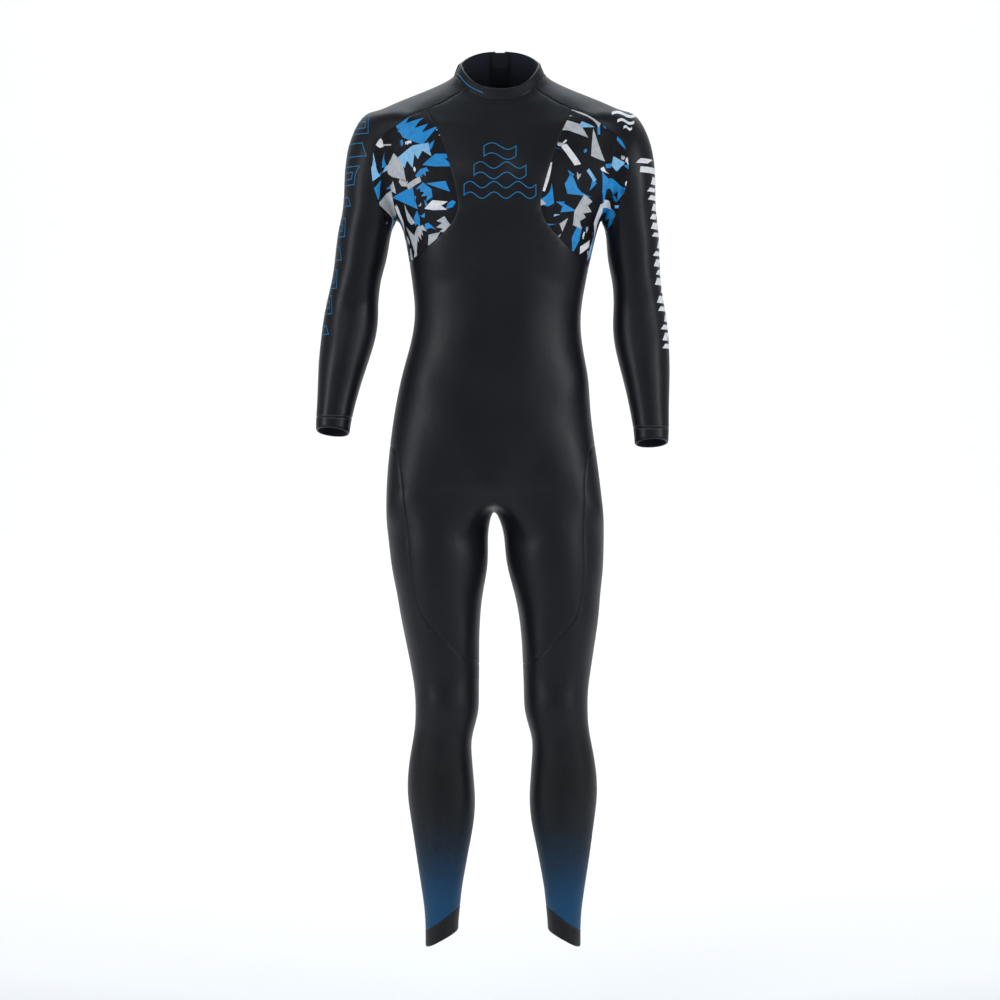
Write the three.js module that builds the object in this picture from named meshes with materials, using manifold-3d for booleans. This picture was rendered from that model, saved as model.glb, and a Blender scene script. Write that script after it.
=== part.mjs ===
// A full-length men's triathlon wetsuit, size M, in the shape that it takes on a body: smooth neoprene panels
// glued edge to edge, a back zip with its slider and pull tab, and a collar closed by a hook-and-loop flap.
// Millimetres. +Z is up, -Y is the wearer's front and +X the wearer's left. The origin is in the neck opening.
import * as THREE from 'three';
import { mergeVertices } from 'three/addons/utils/BufferGeometryUtils.js';
import Module from 'manifold-3d';

const wasm = await Module();
wasm.setup();

// ---- driving dimensions ----
const SHEET = 4; // neoprene thickness
const SEAM = 0.4; // gap left between two glued panels
const COLUMNS = 24; // columns round the torso: 0 is the front centre, 6 the left side, 12 the back centre
const HOLE = { front: 4, middle: 6, back: 8 }; // columns that bound the left arm hole
const LIMB_POINTS = 18; // points round a sleeve or a leg
const LIMB_SQUARENESS = 2.15; // exponent of the superellipse that a sleeve or leg ring follows
const SIDE = 10; // the depth at which front and back panels meet, in the suit's sides and in its inseam

// The back's centre line over the zip is an arc about this centre, so that the slider can follow it.
const ARC = { radius: 700, y: -586, z: -190 };
const arcY = (z, level = 0) => ARC.y + Math.sqrt((ARC.radius + level) ** 2 - (z - ARC.z) ** 2);

// The zip: half widths of its slot, tape gap and chain, and the heights of its ends.
const ZIP = { slot: 8, tapeGap: 2.6, chain: 2.2, top: 20, bottom: -366, slotEnd: -372 };
const SLIDER = { low: 0, high: 19, halfWidth: 4.3, pinZ: 14, pinLevel: 4.4, pinRadius: 0.8 };
const TAB = { length: 36, width: 8, thickness: 1.5 };

// The collar's flap: torso columns at its root and its free end, and torso rows at its two edges.
const FLAP = { root: 11.4, end: 16.8, rows: [20.35, 21.6] };

// Torso rings from the crotch up: height at the front, side and back, half width, depth in front and behind,
// how far the centre line is drawn in at the front and back, and the superellipse's exponent.
// A null back depth follows the zip's arc.
const TORSO = [
  [-664, -690, -668, 179, 92, 122, 20, 24, 3.6],
  [-625, -627, -622, 174, 98, 134, 2, 13, 3.0],
  [-570, -570, -570, 168, 100, 131, 0, 7, 2.6],
  [-525, -525, -525, 162, 101, 119, 0, 3, 2.4],
  [-480, -480, -480, 156, 101, 104, 0, 0, 2.4],
  [-445, -445, -445, 149, 100, 90, 0, 0, 2.4],
  [-400, -400, -400, 140, 99, null, 0, 0, 2.4],
  [-360, -360, -360, 137, 99, null, 0, 0, 2.4],
  [-285, -285, -285, 147, 107, null, 0, 0, 2.4],
  [-248, -248, -248, 154, 112, null, 0, 0, 2.4],
  [-215, -215, -215, 163, 116, null, 0, 0, 2.4],
  [-174, -172, -172, 181, 117, null, 0, 0, 2.4],
  [-138, -132, -132, 187, 112, null, 0, 0, 2.4],
  [-108, -97, -97, 193, 103, null, 0, 0, 2.4],
  [-82, -66, -70, 198, 93, null, 0, 0, 2.4],
  [-62, -24, -48, 200, 84, null, 0, 0, 2.4],
  [-50, -12, -30, 173, 78, null, 0, 0, 2.4],
  [-40, -2, -13, 148, 73, null, 0, 0, 2.4],
  [-31, 8, 3, 123, 69, null, 0, 0, 2.4],
  [-23, 18, 18, 100, 66, null, 0, 0, 2.4],
  [-16, 30, 33, 79, 63, null, 0, 0, 2.4],
  [-6, 42, 57, 71, 61, 71, 0, 0, 2.4],
  [5, 54, 82, 66, 60, 68, 0, 0, 2.4],
];
const ROW = { armpit: 10, shoulder: 15, rim: 22 };
const FRONT_DIP = 1.3; // how fast a ring's height changes round its front and back

// Sleeve rings from the shoulder to the wrist: the outer point and the inner point seen from the front,
// the depth centre, the half depth, and how much higher the front edge lies than the back edge.
const SLEEVE = [
  [222, -32, 171, -206, 8, 66, 0],
  [251, -102, 176, -215, 8, 64, 0],
  [259, -186, 182, -235, 9, 59, 0],
  [272, -262, 190, -276, 11, 54, 0],
  [286, -338, 201, -340, 13, 50, 0],
  [296, -406, 207, -404, 8, 50, 5],
  [300, -475, 228, -473, -9, 42, 10],
  [301, -510, 238, -510, -18, 37, 12],
  [302, -553, 247, -558, -29, 31, 14],
];

// Leg rings from the crotch to the ankle: outer and inner point seen from the front, front and back depth.
const LEG = [
  [179, -716, 11, -714, -88, 116],
  [174, -782, 17, -780, -87, 100],
  [163, -860, 32, -860, -80, 86],
  [149, -940, 36, -940, -70, 70],
  [142, -1012, 38, -1012, -67, 55],
  [143, -1038, 44, -1038, -62, 53],
  [152, -1092, 50, -1092, -52, 64],
  [156, -1160, 46, -1160, -47, 76],
  [145, -1240, 55, -1236, -43, 65],
  [133, -1318, 68, -1309, -39, 50],
  [129, -1352, 71, -1338, -38, 47],
  [128, -1403, 74, -1376, -39, 46],
];

// The hips stand a little to the wearer's right and the feet a little to the left.
const SWAY = new THREE.SplineCurve(
  [[-1420, 5], [-1250, 5], [-950, 2], [-870, 0], [-760, -5], [-640, -11], [-540, -13],
    [-430, -7], [-350, -3], [-250, 0], [0, 0], [120, 0]].map(([z, x]) => new THREE.Vector2(z, x)),
).getPoints(60);
function sway(z) {
  const i = Math.max(1, SWAY.findIndex((p) => p.x > z));
  const [a, b] = [SWAY[i - 1], SWAY[i]];
  return THREE.MathUtils.mapLinear(z, a.x, b.x, a.y, b.y);
}

// The left arm hangs closer to the body than the right one and reaches a little lower.
const ARM_POSE = { 1: { swing: -3.2, reach: 1.035 }, '-1': { swing: 0, reach: 1 } };
const SHOULDER = new THREE.Vector2(215, -110);
function armPoint(x, z, side) {
  const { swing, reach } = ARM_POSE[side];
  const down = THREE.MathUtils.smoothstep(-z, 100, 280);
  const p = new THREE.Vector2(x, z).sub(SHOULDER);
  p.y *= THREE.MathUtils.lerp(1, reach, down);
  return p.rotateAround(new THREE.Vector2(), THREE.MathUtils.degToRad(swing * down)).add(SHOULDER);
}

// ---- the body's surface ----
const power = (t, n) => Math.sign(t) * Math.abs(t) ** (2 / n);

// A point of the torso: row and column may be fractions, and offset moves it outwards.
function torsoPoint(row, column, offset = 0) {
  const low = Math.min(Math.floor(row), TORSO.length - 2);
  const mix = (i) => THREE.MathUtils.lerp(TORSO[low][i] ?? 0, TORSO[low + 1][i] ?? 0, row - low);
  const angle = (2 * Math.PI * column) / COLUMNS;
  const [s, c] = [power(Math.sin(angle), mix(8)), power(Math.cos(angle), mix(8))];
  const end = c > 0 ? mix(0) : mix(2);
  const z = mix(1) + (end - mix(1)) * Math.abs(Math.cos(angle)) ** FRONT_DIP;
  const backDepth = TORSO[low][5] === null || TORSO[low + 1][5] === null ? arcY(mix(2)) : mix(5);
  const drawn = (c > 0 ? mix(6) : mix(7)) * Math.max(0, Math.abs(Math.cos(angle)) * 4 - 3) ** 1.5;
  const depth = (c > 0 ? mix(4) : backDepth) - drawn + offset;
  return new THREE.Vector3((mix(3) + offset) * s + sway(z), -depth * c, z);
}

// A ring of a sleeve or leg at an angle from its inner point: 90 degrees is the front.
function limbPoint(outer, inner, depthCentre, halfDepth, degrees) {
  const angle = THREE.MathUtils.degToRad(degrees);
  const along = -power(Math.cos(angle), LIMB_SQUARENESS);
  const middle = outer.clone().add(inner).multiplyScalar(0.5);
  const p = middle.add(outer.clone().sub(inner).multiplyScalar(0.5 * along));
  return new THREE.Vector3(p.x, depthCentre - halfDepth * power(Math.sin(angle), LIMB_SQUARENESS), p.y);
}

function sleevePoint(ring, j, side) {
  const [ox, oz, ix, iz, centre, half, rise] = SLEEVE[ring];
  const p = limbPoint(armPoint(ox, oz, side), armPoint(ix, iz, side), centre, half, (360 * j) / LIMB_POINTS);
  p.z += (rise / 2) * Math.sin((2 * Math.PI * j) / LIMB_POINTS);
  p.x *= side;
  return p;
}

function legPoint(ring, i, side) {
  const [ox, oz, ix, iz, front, back] = LEG[ring];
  const degrees = 60 + 20 * i;
  const [outer, inner] = [new THREE.Vector2(ox, oz), new THREE.Vector2(ix, iz)];
  const p = limbPoint(outer, inner, (front + back) / 2, (back - front) / 2, degrees);
  p.x = p.x * side + sway(p.z);
  return p;
}

// The whole outer surface as points and quads that face out, with the five loops of its openings.
function bodySurface() {
  const points = [];
  const quads = [];
  const openings = [];
  const add = (p) => points.push(p) - 1;
  const strip = (upper, lower, flip) => {
    upper.forEach((_, j) => {
      const k = (j + 1) % upper.length;
      const quad = [lower[j], lower[k], upper[k], upper[j]];
      quads.push(flip ? quad.reverse() : quad);
    });
  };
  const inHole = (column) => {
    const c = column > COLUMNS / 2 ? COLUMNS - column : column;
    return c > HOLE.front && c < HOLE.back;
  };
  const torso = TORSO.map((_, row) => Array.from({ length: COLUMNS }, (_, column) => {
    const open = row > ROW.armpit && row < ROW.shoulder && inHole(column);
    return open ? -1 : add(torsoPoint(row, column));
  }));
  for (let row = 0; row < TORSO.length - 1; row++) {
    for (let k = 0; k < COLUMNS; k++) {
      const inside = row >= ROW.armpit && row < ROW.shoulder && inHole(k + 0.5);
      const next = (k + 1) % COLUMNS;
      if (!inside) quads.push([torso[row][k], torso[row][next], torso[row + 1][next], torso[row + 1][k]]);
    }
  }
  openings.push({ loop: torso[ROW.rim], flip: false });

  const [frontEnd, backEnd] = [points[torso[0][0]], points[torso[0][COLUMNS / 2]]];
  const crotch = [1, 2, 3, 4, 5].map((n) => {
    const p = backEnd.clone().lerp(frontEnd, n / 6);
    p.z -= 20 * Math.sin((Math.PI * n) / 6);
    return add(p);
  });
  for (const side of [1, -1]) {
    const at = (column) => (side === 1 ? column : (COLUMNS - column) % COLUMNS);
    let upper = Array.from({ length: COLUMNS / 2 + 1 }, (_, i) => torso[0][at(i)]).concat(crotch);
    for (let ring = 0; ring < LEG.length; ring++) {
      const lower = upper.map((_, i) => add(legPoint(ring, i, side)));
      strip(upper, lower, side === -1);
      upper = lower;
    }
    openings.push({ loop: upper, flip: side === 1 });

    const loop = [];
    for (let c = HOLE.middle; c >= HOLE.front; c--) loop.push(torso[ROW.armpit][at(c)]);
    for (let r = ROW.armpit + 1; r < ROW.shoulder; r++) loop.push(torso[r][at(HOLE.front)]);
    for (let c = HOLE.front; c <= HOLE.back; c++) loop.push(torso[ROW.shoulder][at(c)]);
    for (let r = ROW.shoulder - 1; r > ROW.armpit; r--) loop.push(torso[r][at(HOLE.back)]);
    for (let c = HOLE.back; c > HOLE.middle; c--) loop.push(torso[ROW.armpit][at(c)]);
    upper = loop;
    for (let ring = 0; ring < SLEEVE.length; ring++) {
      const lower = upper.map((_, j) => add(sleevePoint(ring, j, side)));
      strip(upper, lower, side === -1);
      upper = lower;
    }
    openings.push({ loop: upper, flip: side === 1 });
  }
  return { points, quads, openings };
}

// ---- solids ----
function geometryOf(points, triangles) {
  const geometry = new THREE.BufferGeometry().setFromPoints(points);
  geometry.setIndex(triangles.flat());
  return geometry;
}

function solid(geometry) {
  const plain = geometry.clone();
  plain.deleteAttribute('normal');
  plain.deleteAttribute('uv');
  const merged = mergeVertices(plain, 1e-4);
  const vertProperties = new Float32Array(merged.attributes.position.array);
  return new wasm.Manifold(new wasm.Mesh({ numProp: 3, vertProperties, triVerts: new Uint32Array(merged.index.array) }));
}

function fromSolid(made) {
  const { numProp, vertProperties, triVerts } = made.getMesh();
  const position = new Float32Array((vertProperties.length / numProp) * 3);
  for (let i = 0; i < position.length / 3; i++) position.set(vertProperties.subarray(i * numProp, i * numProp + 3), i * 3);
  return new THREE.BufferGeometry()
    .setAttribute('position', new THREE.BufferAttribute(position, 3))
    .setIndex(new THREE.BufferAttribute(new Uint32Array(triVerts), 1));
}

const split = ([a, b, c, d]) => [[a, b, c], [a, c, d]];

// The suit as one closed shell of the sheet's thickness, open at the neck, wrists and ankles.
function suitShell() {
  const { points, quads, openings } = bodySurface();
  const triangles = quads.flatMap(split);
  const skin = geometryOf(points, triangles);
  skin.computeVertexNormals();
  const normals = skin.attributes.normal;
  const inside = points.map((p, i) => p.clone().addScaledVector(new THREE.Vector3().fromBufferAttribute(normals, i), -SHEET));
  const n = points.length;
  const inner = triangles.map(([a, b, c]) => [a + n, c + n, b + n]);
  const rims = openings.flatMap(({ loop, flip }) => loop.flatMap((v, j) => {
    const w = loop[(j + 1) % loop.length];
    return split(flip ? [w, v, v + n, w + n] : [v, w, w + n, v + n]);
  }));
  return solid(geometryOf([...points, ...inside], [...triangles, ...inner, ...rims]));
}

// A closed plate that follows the torso's surface between two columns and two rows.
function torsoPlate(columns, rows, [nu, nv], near, far) {
  const points = [];
  for (const level of [near, far]) {
    for (let v = 0; v <= nv; v++) {
      for (let u = 0; u <= nu; u++) {
        const column = THREE.MathUtils.lerp(columns[0], columns[1], u / nu);
        const row = THREE.MathUtils.lerp(rows[0], rows[1], v / nv);
        points.push(torsoPoint(row, column, level));
      }
    }
  }
  const at = (level, u, v) => (level * (nv + 1) + v) * (nu + 1) + u;
  const quads = [];
  for (let v = 0; v < nv; v++) {
    for (let u = 0; u < nu; u++) {
      quads.push([at(1, u, v), at(1, u + 1, v), at(1, u + 1, v + 1), at(1, u, v + 1)]);
      quads.push([at(0, u, v), at(0, u, v + 1), at(0, u + 1, v + 1), at(0, u + 1, v)]);
    }
  }
  for (let u = 0; u < nu; u++) {
    quads.push([at(0, u, 0), at(0, u + 1, 0), at(1, u + 1, 0), at(1, u, 0)]);
    quads.push([at(0, u, nv), at(1, u, nv), at(1, u + 1, nv), at(0, u + 1, nv)]);
  }
  for (let v = 0; v < nv; v++) {
    quads.push([at(0, 0, v), at(1, 0, v), at(1, 0, v + 1), at(0, 0, v + 1)]);
    quads.push([at(0, nu, v), at(0, nu, v + 1), at(1, nu, v + 1), at(1, nu, v)]);
  }
  return geometryOf(points, quads.flatMap(split));
}

// A strip that follows the zip's arc: its edges across, its ends in height and its levels above the arc.
function arcStrip([left, right], [low, high], [near, far]) {
  const angle = (z) => Math.asin((z - ARC.z) / ARC.radius);
  const shape = new THREE.Shape();
  shape.absarc(ARC.y, ARC.z, ARC.radius + far, angle(low), angle(high), false);
  shape.absarc(ARC.y, ARC.z, ARC.radius + near, angle(high), angle(low), true);
  const segments = Math.max(1, Math.round((high - low) / 26));
  const geometry = new THREE.ExtrudeGeometry(shape, { depth: right - left, bevelEnabled: false, curveSegments: segments });
  const m = new THREE.Matrix4().makeBasis(
    new THREE.Vector3(0, 1, 0), new THREE.Vector3(0, 0, 1), new THREE.Vector3(1, 0, 0),
  );
  return solid(geometry.applyMatrix4(m).translate(left, 0, 0));
}

// A round bar along X.
function bar(radius, length, y, z) {
  return solid(new THREE.CylinderGeometry(radius, radius, length, 16).rotateZ(Math.PI / 2).translate(0, y, z));
}

// ---- seams ----
const FRONT = [-200, SIDE + 0.3];
const BACK = [SIDE - 0.3, 200];
const THROUGH = [-200, 200];

// A thin wall along a line seen from the front, running through the given depths.
function wall(line, [near, far]) {
  const across = (i) => {
    const along = line[Math.min(i + 1, line.length - 1)].clone().sub(line[Math.max(i - 1, 0)]).normalize();
    return new THREE.Vector2(-along.y, along.x).multiplyScalar(SEAM / 2);
  };
  const one = line.map((p, i) => p.clone().add(across(i)));
  const other = line.map((p, i) => p.clone().sub(across(i))).reverse();
  const shape = new THREE.Shape([...one, ...other]);
  const geometry = new THREE.ExtrudeGeometry(shape, { depth: far - near, bevelEnabled: false });
  return solid(geometry.rotateX(Math.PI / 2).translate(0, far, 0));
}

// A curved seam of the torso or legs, which follows the sway of the body.
function seam(points, depths, side = 1, pieces = 2) {
  const curve = new THREE.SplineCurve(points.map(([x, z]) => new THREE.Vector2(x, z)));
  const line = curve.getPoints(pieces * (points.length - 1));
  return wall(line.map((p) => new THREE.Vector2(p.x * side + sway(p.y), p.y)), depths);
}

// A flat cut across a limb; a sleeve's follows the pose of its arm.
const legCut = (a, b, side) => seam([a, b], THROUGH, side, 1);
function sleeveCut(a, b, side) {
  const ends = [a, b].map(([x, z]) => armPoint(x, z, side));
  return wall(ends.map((p) => new THREE.Vector2(p.x * side, p.y)), THROUGH);
}

// A thin wall at one depth, which parts the front from the back.
function sideCut(from, to, [bottom, top], side = 1) {
  const box = new THREE.BoxGeometry(to - from, SEAM, top - bottom);
  return solid(box.translate((side * (from + to)) / 2, SIDE, (bottom + top) / 2));
}

// A gap at the back's centre.
const backGap = (halfWidth, bottom, top) => solid(
  new THREE.BoxGeometry(2 * halfWidth, 150, top - bottom).translate(0, 115, (bottom + top) / 2),
);

const HIP_SIDE = [168, -577]; // where the thigh seam meets the side seam
const PATTERN_TIP = [147, -276]; // the lowest point of the patterned panel, on the side seam
const RAGLAN = [119, -29]; // the top of the patterned panel, on the raglan seam
const COLLAR_SIDE = [74, 31];
const ANKLE = { inner: -1340, outer: -1374, middle: 95 };

function allSeams() {
  const across = (points) => [...points.map(([x, z]) => [-x, z]), ...points.slice(0, -1).reverse()];
  const cuts = [
    seam(across([[100, 31], COLLAR_SIDE, [52, 4], [26, -11], [0, -15]]), FRONT),
    seam(across([[100, 31], COLLAR_SIDE, [0, 33]]), BACK),
    seam(across([[190, -512], [165, -498], [90, -455], [45, -425], [0, -412]]), BACK),
    sideCut(-60, 60, [-937, -660]),
    backGap(ZIP.slot, ZIP.slotEnd, 120),
    backGap(SEAM / 2, -414, ZIP.slotEnd + 1),
  ];
  for (const side of [1, -1]) {
    const add = (points, depths) => cuts.push(seam(points, depths, side));
    // the raglan seam, the patterned panel's inner edge and its edge on the sleeve
    add([[56, 12], [66, 0], [90, -14], RAGLAN], FRONT);
    add([RAGLAN, [103, -62], [90, -96], [76, -144], [69, -177], [69, -199], [81, -222], [109, -248],
      PATTERN_TIP, [175, -300]], FRONT);
    const underarm = [[172, -241], [184, -219], [187, -200]].map(([x, z]) => armPoint(x, z, side).toArray());
    add([RAGLAN, [143, -38], [180, -63], [200, -81], [208, -106], [210, -125], [207, -151], [198, -180],
      underarm[1], underarm[0]], FRONT);
    // the back raglan seam and the patterned panel's back edge
    add([[54, 34], [66, 10], [84, -30], [112, -85], [135, -140], [150, -178]], BACK);
    add([...underarm, [168, -184], [150, -178], [128, -198], [118, -235], [128, -262], PATTERN_TIP,
      [175, -300]], BACK);
    cuts.push(sideCut(underarm[0][0], underarm[2][0], [underarm[1][1] - 13, underarm[1][1] + 3], side));
    cuts.push(sideCut(COLLAR_SIDE[0] - 6, COLLAR_SIDE[0] + 6, [COLLAR_SIDE[1] - 0.7, COLLAR_SIDE[1] + 1.3], side));
    cuts.push(sideCut(100, 185, [HIP_SIDE[1] - 5, PATTERN_TIP[1] + 5], side));
    // the thigh seam
    add([[190, -568], HIP_SIDE, [157, -594], [149, -640], [144, -714], [142, -780], [134, -833],
      [119, -865], [92, -894], [66, -921], [36, -937], [20, -943]], FRONT);
    // the cuts at the joints, and the cuffs
    cuts.push(wall([[166, -232], [205, -5]].map(([x, z]) => new THREE.Vector2(side * x, z)), THROUGH));
    cuts.push(sleeveCut([180, -372], [315, -372], side));
    cuts.push(sleeveCut([230, -533], [320, -529], side));
    cuts.push(legCut([1, -715], [205, -573], side));
    cuts.push(legCut([10, -1030], [180, -1030], side));
    cuts.push(legCut([55, -1326], [145, -1385], side));
    cuts.push(sideCut(25, ANKLE.middle, [ANKLE.inner, -1030], side));
    cuts.push(sideCut(ANKLE.middle - 1, 175, [ANKLE.outer, -1030], side));
  }
  return cuts;
}

// ---- materials ----
const paint = (color, roughness, metalness = 0) => () => new THREE.MeshStandardMaterial({ color, roughness, metalness });
const MATERIALS = {
  neoprene: paint(0x1d1f24, 0.45),
  pattern: paint(0x1c5f8c, 0.6),
  lowerLeg: paint(0x0b2f4a, 0.6),
  cuff: paint(0x17181b, 0.55),
  tape: paint(0x101114, 0.85),
  teeth: paint(0x202226, 0.4),
  metal: paint(0x2b2c30, 0.3, 0.8),
  hooks: paint(0x0e0f11, 0.9),
};

const group = new THREE.Group();
function place(name, geometry, material) {
  const mesh = new THREE.Mesh(geometry, material());
  mesh.name = name;
  group.add(mesh);
}

// ---- panels ----
// Every panel is known by the middle of its extents.
const PANELS = [
  ['front_torso_panel', [-13, -53, -350], MATERIALS.neoprene],
  ['seat_panel', [-12, 31, -560], MATERIALS.neoprene],
  ['collar', [0, 7, 33], MATERIALS.neoprene],
];
for (const [side, word] of [[1, 'left'], [-1, 'right']]) {
  const panel = (name, [x, y, z], material) => PANELS.push([`${word}_${name}`, [side * x, y, z], material]);
  panel('back_panel', [79, 60, -230], MATERIALS.neoprene);
  panel('chest_panel', [130, -13, -153], MATERIALS.pattern);
  panel('shoulder_panel', [128, 17, -78], MATERIALS.neoprene);
  panel('underarm_panel', [190, -3, -150], MATERIALS.pattern);
  panel('upper_sleeve', [230, 8, -202], MATERIALS.neoprene);
  panel('forearm_sleeve', [244, 0, -458], MATERIALS.neoprene);
  panel('wrist_cuff', [260, -23, -555], MATERIALS.cuff);
  panel('inner_thigh_panel', [81, -38, -774], MATERIALS.neoprene);
  panel('outer_thigh_panel', [94, 20, -813], MATERIALS.neoprene);
  panel('shin_panel', [99, -26, -1202], MATERIALS.lowerLeg);
  panel('calf_panel', [99, 42, -1202], MATERIALS.lowerLeg);
  panel('ankle_cuff', [100, 4, -1370], MATERIALS.cuff);
}

const SMALLEST_PANEL = 1000; // cubic millimetres; anything less is waste between two seams
const pieces = suitShell().subtract(wasm.Manifold.union(allSeams())).decompose()
  .filter((piece) => piece.volume() > SMALLEST_PANEL);
for (const [name, at, material] of PANELS) {
  const distances = pieces.map((piece) => {
    const { min, max } = piece.boundingBox();
    return new THREE.Box3(new THREE.Vector3(...min), new THREE.Vector3(...max))
      .getCenter(new THREE.Vector3()).distanceTo(new THREE.Vector3(...at));
  });
  place(name, fromSolid(pieces[distances.indexOf(Math.min(...distances))]), material);
}

// ---- zip ----
const [LOW, HIGH] = [ZIP.bottom, ZIP.top];
const tapeEdge = ZIP.slot - 0.4;
place('left_zip_tape', fromSolid(arcStrip([ZIP.tapeGap, tapeEdge], [LOW - 5, HIGH + 3], [-2.6, -1.4])), MATERIALS.tape);
place('right_zip_tape', fromSolid(arcStrip([-tapeEdge, -ZIP.tapeGap], [LOW - 5, HIGH + 3], [-2.6, -1.4])), MATERIALS.tape);
place('zip_teeth', fromSolid(arcStrip([-ZIP.chain, ZIP.chain], [LOW, HIGH], [-3.2, 0.4])), MATERIALS.teeth);
place('zip_bottom_stop', fromSolid(arcStrip([-2.2, 2.2], [LOW - 5, LOW - 0.5], [-3.2, 1])), MATERIALS.metal);
place('zip_top_stop', fromSolid(arcStrip([-2.2, 2.2], [HIGH + 0.5, HIGH + 3], [-3.2, 1])), MATERIALS.metal);
place('zip_underlap', fromSolid(arcStrip([-13, 13], [LOW - 14, HIGH + 6], [-7.8, -6.4])), MATERIALS.neoprene);

const pinY = arcY(SLIDER.pinZ, SLIDER.pinLevel);
const sliderEnds = [SLIDER.low, SLIDER.high];
const lug = (sign) => arcStrip([sign * 3.4 - 0.6, sign * 3.4 + 0.6], [SLIDER.pinZ - 3, SLIDER.pinZ + 3], [1.6, 6]);
const slider = arcStrip([-SLIDER.halfWidth, SLIDER.halfWidth], sliderEnds, [0.8, 2])
  .add(arcStrip([-SLIDER.halfWidth, -ZIP.tapeGap - 0.1], sliderEnds, [-1, 1.5]))
  .add(arcStrip([ZIP.tapeGap + 0.1, SLIDER.halfWidth], sliderEnds, [-1, 1.5]))
  .add(lug(1))
  .add(lug(-1))
  .add(bar(SLIDER.pinRadius, 6.4, pinY, SLIDER.pinZ));
place('zip_slider', fromSolid(slider), MATERIALS.metal);

// The pull tab hangs from the slider's pin; its eye turns on the pin.
const tabShape = new THREE.Shape();
const half = TAB.width / 2;
tabShape.moveTo(-2.4, 0);
tabShape.lineTo(-half, -9);
tabShape.lineTo(-half, -TAB.length + 4);
tabShape.absarc(0, -TAB.length + 4, half, Math.PI, 2 * Math.PI, false);
tabShape.lineTo(half, -9);
tabShape.lineTo(2.4, 0);
tabShape.closePath();
const slotHole = new THREE.Path();
slotHole.absarc(0, -TAB.length + 5, 2, 0, 2 * Math.PI, true);
tabShape.holes.push(slotHole);
const tabPlate = solid(
  new THREE.ExtrudeGeometry(tabShape, { depth: TAB.thickness, bevelEnabled: false, curveSegments: 8 })
    .translate(0, 0, -TAB.thickness / 2).rotateX(Math.PI / 2),
);
const eye = bar(1.9, 4.8, 0, 0).subtract(bar(SLIDER.pinRadius + 0.35, 10, 0, 0));
const tab = fromSolid(tabPlate.subtract(bar(1.6, 10, 0, 0)).add(eye));
const tilt = Math.asin((SLIDER.pinZ - ARC.z) / ARC.radius);
place('zip_pull_tab', tab.rotateX(tilt).translate(0, pinY, SLIDER.pinZ), MATERIALS.metal);

// ---- collar flap ----
const LEVELS = { loop: [1, 2], hook: [2.4, 3.4], flap: [3.8, 6.3] };
const patchColumns = [14.4, FLAP.end - 0.2];
const patchRows = [FLAP.rows[0] + 0.15, FLAP.rows[1] - 0.15];
place('collar_flap', torsoPlate([FLAP.root, FLAP.end], FLAP.rows, [12, 2], ...LEVELS.flap), MATERIALS.neoprene);
place('hook_patch', torsoPlate(patchColumns, patchRows, [6, 2], ...LEVELS.hook), MATERIALS.hooks);
place('loop_patch', torsoPlate(patchColumns, patchRows, [6, 2], ...LEVELS.loop), MATERIALS.hooks);

export default group;
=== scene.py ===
"""A full-length triathlon wetsuit, filled out as on a body. Lengths are in millimetres unless a comment says
otherwise, in the part's frame: +Z up, -Y the wearer's front, +X the wearer's left."""
import math
import random

import bmesh
import bpy
import numpy as np
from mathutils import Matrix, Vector
from mathutils.geometry import tessellate_polygon


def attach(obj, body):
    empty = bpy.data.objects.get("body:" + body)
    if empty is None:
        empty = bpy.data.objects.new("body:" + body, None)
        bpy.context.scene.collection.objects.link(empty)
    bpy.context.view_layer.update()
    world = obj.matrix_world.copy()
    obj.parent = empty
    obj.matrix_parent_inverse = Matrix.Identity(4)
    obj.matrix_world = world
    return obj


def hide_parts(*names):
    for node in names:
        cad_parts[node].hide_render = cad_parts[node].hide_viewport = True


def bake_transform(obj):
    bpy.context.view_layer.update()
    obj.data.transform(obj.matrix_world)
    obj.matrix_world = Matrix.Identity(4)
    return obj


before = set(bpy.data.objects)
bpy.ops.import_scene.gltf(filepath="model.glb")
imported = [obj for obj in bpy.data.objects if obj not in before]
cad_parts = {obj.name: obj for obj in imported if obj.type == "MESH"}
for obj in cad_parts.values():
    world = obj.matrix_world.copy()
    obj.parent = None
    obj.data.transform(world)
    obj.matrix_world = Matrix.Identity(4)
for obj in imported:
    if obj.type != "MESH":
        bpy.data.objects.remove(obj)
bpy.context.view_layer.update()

MM = 0.001
SIDES = ((1, "left"), (-1, "right"))

# ---------------------------------------------------------------------------------------------- body tables
COLUMNS = 24  # points round the torso, from the middle of the front
HOLE_FRONT, HOLE_SIDE, HOLE_BACK = 4, 6, 8  # columns of the armhole
LIMB_POINTS = 18  # points round an arm or a leg
LIMB_POWER = 2.15  # exponent of its superellipse
SIDE = 10  # y of the upright plane that parts the front half from the back
ARC_RADIUS, ARC_Y, ARC_Z = 700, -586, -190  # the arc that the zip follows

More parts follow.
